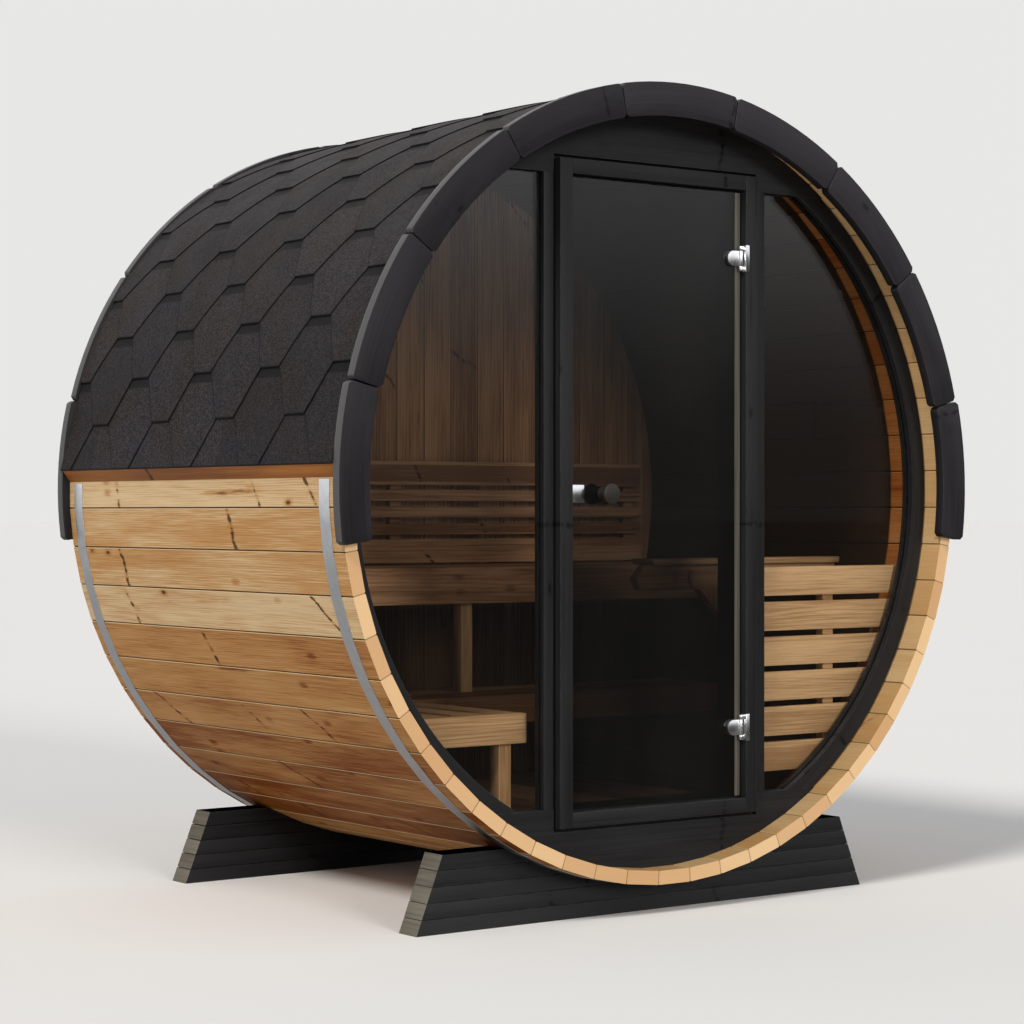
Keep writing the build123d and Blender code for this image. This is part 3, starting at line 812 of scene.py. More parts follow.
@dataclass(frozen=True)
class TimberFinish(Finish):
    """Bare, oiled or painted timber with grain, knots, worn edges and tones board by board."""

    pale: Colour
    deep: Colour
    knot: Colour
    run: GrainRun = GrainRun.ALONG_X
    step: BoardStep = BoardStep.NONE
    board_width: float = 0.095
    board_offset: float = 0.0
    end_grain: Colour | None = None
    tone_spread: float = 0.5
    ring_width: float = 0.012
    ring_strength: float = 0.5
    streak_strength: float = 0.5
    cloud_strength: float = 0.2
    knots: float = 1.0
    roughness: float = 0.55
    bump: float = 0.25
    bump_height: float = 0.0012
    wear: Colour | None = None
    wear_amount: float = 0.5
    wear_reach: float = 0.0035
    wear_breakup: float = 55.0
    dust: float = 0.0
    dust_colour: Colour = (0.42, 0.40, 0.37)
    mid: Colour | None = None
    waver: float = 0.03
    shine: float = 0.5
    joint_width: float = 0.0
    side_tones_and_shade: tuple[float, ...] = ()
    rim_highlight_colour: Colour | None = None
    sheltered: Colour | None = None
    lap_shaded: Colour = (0.35, 0.212, 0.092)
    lap_lit: Colour = (0.66, 0.41, 0.19)
    lap_share: float = 0.62
    lap_tint: Colour = (1.08, 1.12, 1.1)
    shaded_below: float = 0.0
    shade_tint: Colour = (0.25, 0.24, 0.25)
    shade_fade: float = 0.03
    room_painted_shade: Colour | None = None
    room_shade_share: float = 0.965
    spot_shift: Triple = (3.0, 9.0, 3.0)

    def board_number(self, arc: Wire, xyz: list[Wire]) -> tuple[object, object]:
        """A whole number for each board, and how far a point is off the board's middle.

        Args:
            arc: The turn round the barrel.
            xyz: The object place's three values.

        Returns:
            The number and the distance in metres, both zero where boards aren't told apart.
        """
        if self.step is BoardStep.NONE:
            return 0.0, 0.0
        if self.step is BoardStep.ROUND:
            width = math.radians(self.board_width)
            share = arc / width
            number = share.math("ROUND")
            return number, (share - number) * width
        value = xyz[(BoardStep.IN_X, BoardStep.IN_Y, BoardStep.IN_Z).index(self.step)]
        share = (value - self.board_offset) / self.board_width
        number = share.math("FLOOR")
        return number, (share - (number + 0.5)) * self.board_width

    def toned(self, sheet: MaterialSheet, grain: dict[str, Wire], tone: Wire) -> Wire:
        """Mixes the finish's colours by the board's tone and its grain.

        Args:
            sheet: The material's sheet.
            grain: The grain group's outputs.
            tone: The board's tone.

        Returns:
            The colour of clean timber.
        """
        level = (tone - 0.5) * (self.tone_spread * 2.0) + 0.5
        level = level + grain["Streaks"].span(0.3, 0.72, -0.35, 0.35) * self.streak_strength
        level = level + grain["Clouds"].span(0.3, 0.7, -self.cloud_strength, self.cloud_strength)
        level = level - grain["Rings"] * (0.20 * self.ring_strength)
        level = level + grain["Fibres"].span(0.3, 0.7, -0.2, 0.2) * self.ring_strength
        level = level - grain["Halo"] * 0.30
        if self.mid:
            colour = sheet.mix(level.span(0.0, 0.5), self.deep, self.mid)
            colour = sheet.mix(level.span(0.45, 1.0), colour, self.pale)
        else:
            colour = sheet.mix(level.span(0.0, 1.0), self.deep, self.pale)
        return sheet.mix(grain["Knot"] * 0.85, colour, self.knot)

    def jointed(self, sheet: MaterialSheet, colour: Wire, turn: Wire, off_middle: Wire) -> tuple[Wire, Wire]:
        """Draws the dark joints between boards, with a painted highlight on the edges that face the light.

        Args:
            sheet: The material's sheet.
            colour: The boards' colour.
            turn: The turn from the barrel's bottom.
            off_middle: The distance from the board's middle.

        Returns:
            The colour and the joints' mask.
        """
        width = math.radians(self.board_width) if self.step is BoardStep.ROUND else self.board_width
        apart = width / 2 - abs(off_middle)
        # Painted highlight: the bevels beside each joint that face the light are lightened towards the pale colour
        edge_highlight = apart.span(self.joint_width * 3.6, self.joint_width * 1.6)
        facing = sheet.normal().split()[2]
        tipped = facing + turn.math("COSINE")
        lit = facing.span(-0.25, 0.1).or_more(tipped.span(0.15, 0.4))
        colour = sheet.mix(edge_highlight * lit * 0.8, colour, self.pale)
        joint = apart.span(self.joint_width * 1.35, self.joint_width * 0.85)
        return sheet.mix(joint, colour, self.knot), joint

    def sheltered_and_lap_shade(self, sheet: MaterialSheet, colour: Wire, y: Wire, z: Wire) -> Wire:
        """The colour of the staves' sheltered inner side, and on the laps at both ends painted light and shade, lighter
        high up and darker low down.

        Args:
            sheet: The material's sheet.
            colour: The weathered colour.
            y: The place along the barrel.
            z: The place above the ground.

        Returns:
            The sheltered colour, with painted light and shade on the laps.
        """
        # Painted light and shade: the laps are lighter high up and darker low down
        lap_light_and_shade = sheet.mix(z.span(0.25, 1.15), self.lap_shaded, self.lap_lit)
        lap_colour = sheet.mix(self.lap_share, sheet.tinted(colour, self.lap_tint), lap_light_and_shade)
        return sheet.mix(abs(y).above(LAP_START), sheet.tinted(colour, self.sheltered), lap_colour)

    def painted_rim_highlight(self, sheet: MaterialSheet, turn: Wire, colour: Wire) -> Wire:
        """Paints a lighter grey highlight on the faces that look away from the barrel, where the sky's light falls.

        Args:
            sheet: The material's sheet.
            turn: The turn from the barrel's top.
            colour: The colour of the other faces.

        Returns:
            The colour with the painted highlight on the rim.
        """
        side, _, up = sheet.normal().split()
        outward = side * turn.math("SINE") + up * turn.math("COSINE")
        return sheet.mix(outward.span(0.45, 0.9), colour, self.rim_highlight_colour)

    def chosen_tone_and_shade(self, sheet: MaterialSheet, number: Wire, chance: Wire) -> Wire:
        """Sets the tones of the staves down the left side, their own tones with painted shade that darkens them towards
        the bottom, and leaves the others to chance.

        Args:
            sheet: The material's sheet.
            number: The stave's number, from -15 at the side to 0 below.
            chance: The random tone of the others.

        Returns:
            The tone.
        """
        first, count = 5.0, 40.0
        node = sheet.add("ShaderNodeValToRGB", (number + 20.5) / count)
        node.color_ramp.interpolation = "CONSTANT"
        stops = node.color_ramp.elements
        for stop, position in zip(stops, (0.0, (first + len(self.side_tones_and_shade)) / count)):
            stop.position = position
            stop.color = (0.0, 0.0, 0.0, 0.0)
        for index, tone in enumerate(self.side_tones_and_shade):
            stops.new((first + index) / count).color = (tone, tone, tone, 1.0)
        picked = Wire(sheet, node, "Alpha")
        likely = chance.span(0.0, 1.0, 0.42, 0.86)
        return Wire(sheet, node, "Color") * picked + likely * (1.0 - picked)

    def sawn_ends(self, sheet: MaterialSheet, colour: Wire, spot: Wire, tone: Wire) -> Wire:
        """Shows end grain on faces that look along the boards.

        Args:
            sheet: The material's sheet.
            colour: The colour of the sides.
            spot: The place in the board.
            tone: The board's tone.

        Returns:
            The colour with end grain.
        """
        axis = {GrainRun.ALONG_Y: 1, GrainRun.ALONG_Z: 2}.get(self.run, 0)
        ends = abs(sheet.normal().split()[axis]).span(0.7, 0.85)
        flat = spot.stretched(1.0, 0.0, 1.0)
        bow = sheet.noise(flat, 1.0, scale=8.0) * 0.02 + flat.split()[2]
        rings = (bow * 1500.0).math("SINE").span(-1.0, 1.0)
        pores = sheet.noise(flat, 2.0, scale=520.0).span(0.35, 0.75, 0.0, 0.30)
        board = sheet.chance(tone, 5.1, 2.2)[0]
        dark = tuple(channel * share for channel, share in zip(self.end_grain, (0.62, 0.45, 0.33)))
        return sheet.mix(ends, colour, sheet.mix(rings * 0.10 + pores + board * 0.55, self.end_grain, dark))

    def paint(self, sheet: MaterialSheet) -> None:
        """Lays out the finish's nodes.

        Args:
            sheet: The new material's sheet.
        """
        place = sheet.group(sheet.groups.place)
        x, y, z = sheet.place().split()
        arc = place["Turn" if self.run is GrainRun.ALONG_Y else "Top Turn"]
        radius = place["Radius"]
        ways = {
            GrainRun.ALONG_X: (z, x, y),
            GrainRun.ALONG_Y: (arc, y, radius) if self.step is BoardStep.ROUND else (x, y, z),
            GrainRun.ALONG_Z: (x, z, y),
            GrainRun.ROUND: (radius, arc, y),
        }
        board = sheet.join(*ways[self.run])
        number, off_middle = self.board_number(arc, [x, y, z])
        chance, scatter = sheet.chance(number, 3.7, 1.3)
        shift = scatter.stretched(*self.spot_shift)
        spot = Wire(sheet, sheet.add("ShaderNodeVectorMath", board, shift, operation="ADD"))
        grain = sheet.group(
            sheet.groups.grain, Place=spot, Board=number, Off_Middle=off_middle, Ring_Width=self.ring_width,
            Knots=self.knots, Waver=self.waver,
        )
        tone = self.chosen_tone_and_shade(sheet, number, chance) if self.side_tones_and_shade else chance
        colour = self.toned(sheet, grain, tone)
        if self.joint_width:
            colour, joint = self.jointed(sheet, colour, place["Turn"], off_middle)
        if self.sheltered:
            colour = sheet.mix(radius.below(SHELTERED_RADIUS), colour, self.sheltered_and_lap_shade(sheet, colour, y, z))
        if self.shaded_below:
            fade = z.span(self.shaded_below + self.shade_fade, self.shaded_below - self.shade_fade)
            low = fade * y.below(BACK_WALL_MIDDLE)
            colour = sheet.mix(low, colour, sheet.tinted(colour, self.shade_tint))
        if self.end_grain:
            colour = self.sawn_ends(sheet, colour, spot, tone)
        if self.joint_width:
            colour = sheet.mix(joint * 0.55, colour, self.knot)
        # Painted highlight on the faces that look away from the barrel
        if self.rim_highlight_colour:
            colour = self.painted_rim_highlight(sheet, place["Top Turn"], colour)
        if self.wear:
            worn = sheet.group(sheet.groups.wear, Reach=self.wear_reach, Breakup=self.wear_breakup)["Wear"]
            colour = sheet.mix(worn * self.wear_amount, colour, self.wear)
        if self.dust:
            colour = sheet.dusted(colour, self.dust, self.dust_colour)
        if self.room_painted_shade:
            # Painted shade: the staves' inner faces in the room are darkened nearly to black, all but a strip by the
            # front wall
            inside = radius.below(ROOM_RADIUS) * y.span(*ROOM_FRONT) * y.span(*ROOM_BACK)
            colour = sheet.mix(inside * self.room_shade_share, colour, self.room_painted_shade)
        gloss = grain["Streaks"].span(0.2, 0.8, self.roughness - 0.08, self.roughness + 0.1)
        sheet.surface(Base_Color=colour, Specular_IOR_Level=self.shine, Roughness=gloss)
        sheet.bump(grain["Height"], self.bump, self.bump_height)


@dataclass(frozen=True)
class ShingleFinish(Finish):
    """Mineral granules on bitumen, with a printed shade under each tab of the next course."""

    light: Colour = (0.052, 0.045, 0.051)
    dark: Colour = (0.0085, 0.0076, 0.009)
    brown: Colour = (0.058, 0.044, 0.032)
    cut_edge_and_shadow_line: Colour = (0.004, 0.004, 0.005)
    print_band: Colour = (0.006, 0.006, 0.007)
    foot_half: float = 0.1358
    head_half: float = 0.3642
    edge_and_shadow_reach: tuple[float, float] = (0.0052, 0.0018)
    print_start: tuple[float, float] = (1.77, 1.82)
    dust_colour: Colour = (0.30, 0.29, 0.27)
    shine: float = 0.12
    roughness: float = 0.88

    def shaded_tabs(self, sheet: MaterialSheet, colour: Wire) -> Wire:
        """Gives each tab its tone, a dark band along its edges that is partly the bare cut edge and partly a painted
        shadow line, and the dark print above the notches.

        Args:
            sheet: The material's sheet.
            colour: The granules' colour.

        Returns:
            The colour of the laid shingles.
        """
        u, v, _ = sheet.place("UV").split()
        row = (v / MAP_ROW).math("FLOOR")
        up = v - row * MAP_ROW
        tab = u.math("ROUND")
        side = abs(u - tab)
        colour = sheet.mix(sheet.chance(tab, row, 2.9)[0] * 0.42, colour, self.dark)
        half = up * (self.head_half - self.foot_half) + self.foot_half
        edge = abs((half - side) * TAB_PITCH)
        on_tab = up.below(1.0)
        # Dark band along the tab's sides and foot: the bare cut edge and a painted shadow line
        edge_and_shadow_share = edge.math("MINIMUM", up * COURSE).span(*self.edge_and_shadow_reach) * on_tab
        colour = sheet.mix(edge_and_shadow_share * 0.8, colour, self.cut_edge_and_shadow_line)
        band = up.span(*self.print_start) * (1.0 - on_tab)
        return sheet.mix(band * 0.82, colour, self.print_band)

    def paint(self, sheet: MaterialSheet) -> None:
        """Lays out the finish's nodes.

        Args:
            sheet: The new material's sheet.
        """
        spot = sheet.place()
        grit = sheet.cells(spot, 520.0)[1].split()[0]
        coarse = sheet.cells(spot, 260.0)[1].split()[1]
        speck = grit * 0.6 + coarse * 0.4
        colour = sheet.mix(speck.span(0.15, 0.95), self.dark, self.light)
        patches = sheet.noise(spot, 3.0, scale=5.0).span(0.42, 0.68)
        colour = sheet.mix(patches * 0.8, colour, sheet.mix(speck.span(0.2, 1.0), self.dark, self.brown))
        colour = sheet.dusted(self.shaded_tabs(sheet, colour), 0.05, self.dust_colour)
        sheet.surface(Base_Color=colour, Specular_IOR_Level=self.shine, Roughness=self.roughness)
        sheet.bump(speck, 0.55, 0.0012)


@dataclass(frozen=True)
class MetalFinish(Finish):
    """Galvanised band or polished fitting."""

    colour: Colour
    roughness: float
    mottle: float = 0.0
    brushed: float = 0.0
    dust_colour: Colour = (0.36, 0.35, 0.33)
    brush_stretch: Triple = (900.0, 30.0, 60.0)

    def paint(self, sheet: MaterialSheet) -> None:
        """Lays out the finish's nodes.

        Args:
            sheet: The new material's sheet.
        """
        spot = sheet.place()
        cloud = sheet.noise(spot, 3.0, scale=26.0)
        spangle = sheet.cells(spot, 90.0)[1].split()[0]
        colour = sheet.mix((spangle * 0.5 + cloud) * self.mottle, self.colour, shade(self.colour, 0.72))
        scratches = sheet.noise(spot.stretched(*self.brush_stretch), 2.0)
        rough = cloud.span(0.3, 0.7, self.roughness - 0.05, self.roughness + 0.06) + scratches * self.brushed
        sheet.surface(Base_Color=sheet.dusted(colour, 0.25, self.dust_colour), Metallic=1.0, Roughness=rough)
        sheet.bump(spangle + scratches, 0.06, 0.0006)


@dataclass(frozen=True)
class GlassFinish(Finish):
    """Smoked glass that shows the room behind it, with a faint film of dust and wipe marks."""

    tint: Colour
    cover: float
    mirror_index: float
    film: Colour = (0.10, 0.09, 0.08)

    def paint(self, sheet: MaterialSheet) -> None:
        """Lays out the finish's nodes.

        Args:
            sheet: The new material's sheet.
        """
        smear = sheet.noise(sheet.place().stretched(5.0, 5.0, 2.0), 4.0, 0.6).span(0.35, 0.75)
        colour = sheet.mix(smear * 0.05, self.tint, self.film)
        sheet.surface(Base_Color=colour, Alpha=self.cover, Roughness=smear * 0.03 + 0.015, IOR=self.mirror_index)


@dataclass(frozen=True)
class SealFinish(Finish):
    """Translucent strip along the hinge side of the leaf."""

    colour: Colour = (0.11, 0.095, 0.075)

    def paint(self, sheet: MaterialSheet) -> None:
        """Lays out the finish's nodes.

        Args:
            sheet: The new material's sheet.
        """
        lines = sheet.noise(sheet.place().stretched(600.0, 600.0, 3.0), 2.0)
        colour = sheet.mix(lines.span(0.35, 0.65), shade(self.colour, 0.35), self.colour)
        sheet.surface(Base_Color=colour, Roughness=lines.span(0.2, 0.8, 0.25, 0.4))


def timber_finishes() -> list[Finish]:
    """The finishes of the timber, outside and inside.

    Returns:
        The finishes.
    """
    paint = {
        "pale": (0.0165, 0.016, 0.0172), "deep": (0.008, 0.0078, 0.0085), "knot": (0.002, 0.002, 0.0025),
        "roughness": 0.55, "ring_strength": 0.4, "knots": 1.2, "bump": 0.35, "tone_spread": 0.3, "shine": 0.13,
        "wear": (0.07, 0.07, 0.075), "wear_amount": 0.5, "dust": 0.04, "slot": "black_wood",
    }
    trim = {**paint, "pale": (0.0208, 0.0186, 0.0214), "deep": (0.011, 0.0098, 0.0114)}
    thermo = {
        "pale": (0.60, 0.33, 0.16), "deep": (0.22, 0.095, 0.040), "knot": (0.05, 0.02, 0.01), "shine": 0.18,
        "waver": 0.06, "ring_strength": 0.8, "slot": "inner_wood",
    }
    pine = {
        "pale": (0.76, 0.48, 0.235), "deep": (0.42, 0.225, 0.095), "knot": (0.14, 0.06, 0.028), "shine": 0.18,
        "waver": 0.14, "ring_strength": 1.0, "streak_strength": 0.3, "slot": "pale_wood",
    }
    run, step = GrainRun, BoardStep
    return [
        TimberFinish(
            "oiled_staves", (0.585, 0.43, 0.245), (0.18, 0.042, 0.001), (0.035, 0.013, 0.007), run.ALONG_Y,
            step.ROUND, 6.0, mid=(0.405, 0.200, 0.062), end_grain=(0.73, 0.50, 0.275), tone_spread=0.42,
            ring_strength=0.6, streak_strength=0.20, cloud_strength=0.12, ring_width=0.0055, waver=0.05, knots=1.35,
            bump=0.3, wear=(0.70, 0.48, 0.24), wear_amount=0.25, joint_width=0.0013, shine=0.15,
            # The left side's staves from the side down: their own tones, darkened towards the bottom by painted shade
            side_tones_and_shade=(0.97, 0.70, 0.72, 0.87, 0.44, 0.45, 0.37, 0.225, 0.215, 0.06, 0.06),
            # The last colour is painted shade on the staves' faces inside the room
            sheltered=(1.08, 0.66, 0.36), room_painted_shade=(0.018, 0.009, 0.005),
        ),
        TimberFinish(
            "reddish_batten", (0.40, 0.145, 0.024), (0.18, 0.055, 0.009), (0.02, 0.008, 0.005), run.ALONG_Y,
            knots=0.8, end_grain=(0.6, 0.32, 0.14), shine=0.3, slot="batten_wood",
        ),
        TimberFinish(
            # The trim's outer faces get a painted highlight
            "black_trim", run=run.ROUND, step=step.ROUND, board_width=22.0, rim_highlight_colour=(0.075, 0.074, 0.075), **trim
        ),
        TimberFinish("black_upright", run=run.ALONG_Z, **paint),
        TimberFinish("black_level", run=run.ALONG_X, **paint),
        TimberFinish("black_ring", run=run.ROUND, **paint),
        TimberFinish("black_cradle", run=run.ALONG_X, step=step.IN_Z, board_width=0.038, **paint),
        TimberFinish(
            "weathered_ends", (0.165, 0.15, 0.12), (0.075, 0.066, 0.052), (0.03, 0.028, 0.025), run.ALONG_Y,
            step.IN_Z, 0.038, knots=0.3, roughness=0.85, bump=0.6, ring_width=0.005, ring_strength=0.6,
            tone_spread=0.22, shine=0.2,
        ),
        TimberFinish(
            "thermo_wall", run=run.ALONG_Z, step=step.IN_X, board_width=0.0965, board_offset=-0.965,
            tone_spread=0.22, knots=0.6, joint_width=0.0016, shaded_below=0.75, **thermo
        ),
        TimberFinish(
            "thermo_floor", run=run.ALONG_Y, step=step.IN_X, board_width=0.098, board_offset=-0.98, dust=0.1, **thermo
        ),
        TimberFinish(
            "thermo_bench", run=run.ALONG_X, step=step.IN_Y, board_width=0.103, board_offset=0.135, **thermo
        ),
        TimberFinish(
            "thermo_slats", run=run.ALONG_X, step=step.IN_Z, board_width=0.0495, board_offset=0.012,
            end_grain=(0.4, 0.22, 0.11), **thermo
        ),
        TimberFinish("thermo_upright", run=run.ALONG_Z, **thermo),
        TimberFinish(
            "pale_screen", run=run.ALONG_X, step=step.IN_Z, board_width=0.0932, board_offset=0.3865, knots=0.25,
            tone_spread=0.25, ring_width=0.011, **pine
        ),
        TimberFinish("pale_along", run=run.ALONG_Y, knots=0.4, tone_spread=0.3, **pine),
        TimberFinish("pale_across", run=run.ALONG_X, knots=0.4, tone_spread=0.3, **pine),
        TimberFinish("pale_upright", run=run.ALONG_Z, knots=0.3, tone_spread=0.3, **pine),
        TimberFinish(
            "turned_knob", (0.022, 0.0185, 0.016), (0.012, 0.009, 0.007), (0.008, 0.005, 0.004), run.ALONG_Z,
            knots=0.0, roughness=0.5, wear=(0.05, 0.042, 0.035), shine=0.2, slot="knob_wood",
        ),
    ]


def other_finishes() -> list[Finish]:
    """The finishes of the roof, the metal and the glass.

    Returns:
        The finishes.
    """
    return [
        ShingleFinish("granule_shingle", slot="roof_felt"),
        MetalFinish("galvanised_band", (0.75, 0.755, 0.765), 0.34, 0.45, slot="galvanised_steel"),
        MetalFinish("polished_fitting", (0.66, 0.66, 0.67), 0.2, 0.1, 0.08, slot="hinge_chrome"),
        MetalFinish("blackened_screw", (0.03, 0.03, 0.033), 0.5, 0.5, slot="black_wood"),
        GlassFinish("smoked_pane", (0.006, 0.0055, 0.005), 0.15, 2.5),
        GlassFinish("smoked_leaf", (0.005, 0.005, 0.005), 0.58, 1.5),
        SealFinish("leaf_seal"),
    ]


class Finishes:
    """The sauna's materials and their slots by finish name."""

    def __init__(self) -> None:
        """Builds every finish once."""
        groups = SharedGroups()
        every = timber_finishes() + other_finishes()
        self.materials = {finish.name: finish.build(groups) for finish in every}
        self.slots = {finish.name: finish.slot for finish in every}


# Sub-assemblies


@dataclass
class Assembly:
    """A sub-assembly that knows the frame and the finishes and reports its pieces."""

    nodes: dict[str, Piece]
    finishes: Finishes
    made: list[Piece] = field(default_factory=list)

    def put(self, obj: Piece, finish: str) -> Piece:
        """Gives a piece one finish and nothing else, and returns it."""
        put(obj, self.finishes.materials[finish])
        return obj

    def take(self, obj: Piece, finish: str, *nodes: str, body: str = "sauna") -> Piece:
        """Dresses a finished piece, ties it to its body and hides the CAD nodes that it stands for.

        Args:
            obj: The piece.
            finish: Its finish, which gives the material if it has none.
            nodes: The CAD nodes it stands for.
            body: The CAD body that it rides on.

        Returns:
            The piece.
        """
        if not obj.data.materials:
            self.put(obj, finish)
        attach(obj, body)
        if nodes:
            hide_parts(*nodes)
        self.made.append(obj)
        return obj

    def dress(self, finish: str, *names: str) -> None:
        """Puts a finish on CAD nodes that stay as they are."""
        for name in names:
            self.put(self.nodes[name], finish)

    def rounded_node(self, node: str, finish: str, width: float, segments: int = 2, body: str = "sauna") -> Piece:
        """Stands a copy with rounded edges in for a CAD node.

        Args:
            node: The node.
            finish: The copy's finish.
            width: The rounding.
            segments: Faces across the rounding.
            body: The body that it rides on.

        Returns:
            The copy.
        """
        obj = rounded(cad_copy(self.nodes[node], f"{node}_dressed"), width, segments)
        return self.take(obj, finish, node, body=body)

    def report(self) -> None:
        """Logs each piece that was made."""
        for obj in self.made:
            LOG.info("%s: %s, %d faces", type(self).__name__, obj.name, len(obj.data.polygons))


def screw_seed(radius: float, height: float, recess: float) -> Piece:
    """A countersunk screw head at the origin that looks along +Z.

    Args:
        radius: The head's radius.
        height: The head's height.
        recess: The drive's radius.

    Returns:
        The head.
    """
    deselect()
    bpy.ops.mesh.primitive_cylinder_add(vertices=12, radius=radius, depth=height, location=(0.0, 0.0, 0.0))
    obj = placed_primitive("screw_seed")
    edit_where(obj, "FACE", lambda face: face.normal.z > 0.9)
    bpy.ops.mesh.inset(thickness=radius * 0.18, depth=height * 0.12)
    bpy.ops.mesh.inset(thickness=radius * 0.82 - recess)
    bpy.ops.mesh.inset(thickness=recess * 0.15, depth=-height * 0.35)
    object_mode()
    return obj


@dataclass
class StaveShell(Assembly):
    """The staves of the barrel, with their end grain, and the battens under the eaves."""

    batten_edge: float = 0.0012

    def build(self) -> None:
        """Dresses the staves and battens."""
        self.dress("oiled_staves", *(f"barrel_staves_{index}" for index in range(1, 11)))
        for side in ("left", "right"):
            self.rounded_node(f"eave_batten_{side}", "reddish_batten", self.batten_edge)


@dataclass
class ShingleRoof(Assembly):
    """Hexagonal tabs laid in courses from both eaves, with a cap along the ridge."""

    flat: float = 0.088
    bends: tuple[float, ...] = (0.17, 0.34, 0.5, 0.67, 0.84, 1.25, 1.5, 1.75, 2.0)
    first_middle: float = -0.632
    thickness: float = 0.0028
    lift: float = 0.0062
    first_lift: float = 0.0032
    clearance: float = 0.0002
    head_lap: float = 0.02
    eave: tuple[float, float] = (1.0235, 0.0475)
    foot_angle: float = 15.0
    radius: float = 1.0018
    courses: int = 12
    cap_half: float = 0.11
    cap_exposure: float = 0.15
    cap_lap: float = 0.06
    cap_lift: float = 0.0088
    cap_thickness: float = 0.0024
    cap_row: int = 60
    starter_width: float = 0.14

    def slope(self) -> tuple[Vector, Vector]:
        """The eave, and the straight run from it to where the roof follows the barrel."""
        start = Vector(self.eave)
        return start, Vector(polar(self.radius, math.radians(self.foot_angle))) - start

    def profile(self, distance: float, offset: float) -> tuple[float, float]:
        """A point over the roof's profile.

        Args:
            distance: How far up from the eave along the roof.
            offset: How far off the boards below.

        Returns:
            Its sideways place and its height over the barrel axis.
        """
        start, slope = self.slope()
        if distance < slope.length:
            along = slope.normalized()
            return tuple(start + along * distance + Vector((along.y, -along.x)) * offset)
        return polar(self.radius + offset, math.radians(self.foot_angle) + (distance - slope.length) / self.radius)

    def flat_sheet(self, name: str, low: float, high: float, overhang: float) -> Piece:
        """A flat sheet with its length along Y and its height along Z.

        Args:
            name: The sheet's name.
            low: Its lower edge.
            high: Its upper edge.
            overhang: How far it reaches past the roof's ends.

        Returns:
            The sheet, facing +X.
        """
        deselect()
        bpy.ops.mesh.primitive_plane_add(size=1.0, rotation=(0.0, math.radians(90.0), 0.0))
        bpy.context.object.scale = (high - low, BACK_END - FRONT_END + 2.0 * overhang, 1.0)
        bpy.context.object.location = (0.0, 0.0, (low + high) / 2)
        return placed_primitive(name)

    def middles(self, row: int) -> list[float]:
        """The middles of a course's tabs along Y.

        Args:
            row: The course's number from the eave.

        Returns:
            The places.
        """
        middle = self.first_middle + TAB_PITCH / 2 * row
        middle -= TAB_PITCH * math.ceil((middle - FRONT_END) / TAB_PITCH)
        places = []
        while middle < BACK_END + TAB_PITCH:
            places.append(middle)
            middle += TAB_PITCH
        return places

    def flat_course(self, row: int) -> Piece:
        """One course cut out flat, with its length along Y and its height along Z.

        Args:
            row: The course's number from the eave.

        Returns:
            The course, still flat and with no thickness.
        """
        obj = self.flat_sheet(f"course_{row}", COURSE, 2.0 * COURSE + self.head_lap, TAB_PITCH)
        wide = TAB_PITCH - self.flat
        near = 0.0005
        for middle in self.middles(row):
            for place in (middle - wide / 2, middle + wide / 2):
                cut(obj, DEEP * place, DEEP)
        for middle in self.middles(row):
            edit_where(obj, "EDGE", lambda edge: all(
                abs(vert.co.z - COURSE) < near and abs(abs(vert.co.y - middle) - wide / 2) < near
                for vert in edge.verts
            ))
            bpy.ops.mesh.extrude_region_move(TRANSFORM_OT_translate={"value": (0.0, 0.0, -COURSE)})
            bpy.ops.transform.resize(value=(1.0, self.flat / wide, 1.0), center_override=(0.0, middle, 0.0))
            object_mode()
        for share in self.bends:
            cut(obj, UP * (COURSE * share), UP)
        cut(obj, DEEP * FRONT_END, DEEP, clear_inner=True)
        cut(obj, DEEP * BACK_END, DEEP, clear_outer=True)
        return obj

    def write_map(self, obj: Piece, spread: Callable[[Vector], tuple[float, float]]) -> None:
        """Writes a flat sheet's map, which counts pitches and courses.

        Args:
            obj: The flat sheet.
            spread: Turns a corner's place into its place in the map.
        """
        layer = obj.data.uv_layers.active or obj.data.uv_layers.new(name="course_map")
        for loop in obj.data.loops:
            layer.data[loop.index].uv = spread(obj.data.vertices[loop.vertex_index].co)

    def lay(self, obj: Piece, row: int, side: int, lift: float) -> Piece:
        """Maps a flat sheet, gives it its thickness and lays it over the roof.

        Args:
            obj: The flat sheet.
            row: Its course's number from the eave.
            side: 1 for the right side and -1 for the left.
            lift: How far its lower edge is raised by what lies under it.

        Returns:
            The laid sheet.
        """
        first = self.first_middle + TAB_PITCH / 2 * row
        self.write_map(obj, lambda spot: ((spot.y - first) / TAB_PITCH, spot.z / COURSE + MAP_ROW * row))
        outward = obj.data.polygons[0].normal.x > 0.0
        finish_modifier(obj, "SOLIDIFY", thickness=self.thickness, offset=1.0 if outward else -1.0)
        top = COURSE * 2.0 + self.head_lap
        ridge = self.slope()[1].length + math.radians(90.0 - self.foot_angle) * self.radius
        for vert in obj.data.vertices:
            raised = lift * (1.0 - vert.co.z / top)
            distance = min(row * COURSE + vert.co.z, ridge)
            across, up = self.profile(distance, abs(vert.co.x) + raised + self.clearance)
            vert.co = Vector((side * across, vert.co.y, AXIS_HEIGHT + up))
        tidied(obj, 0.00002)
        return obj

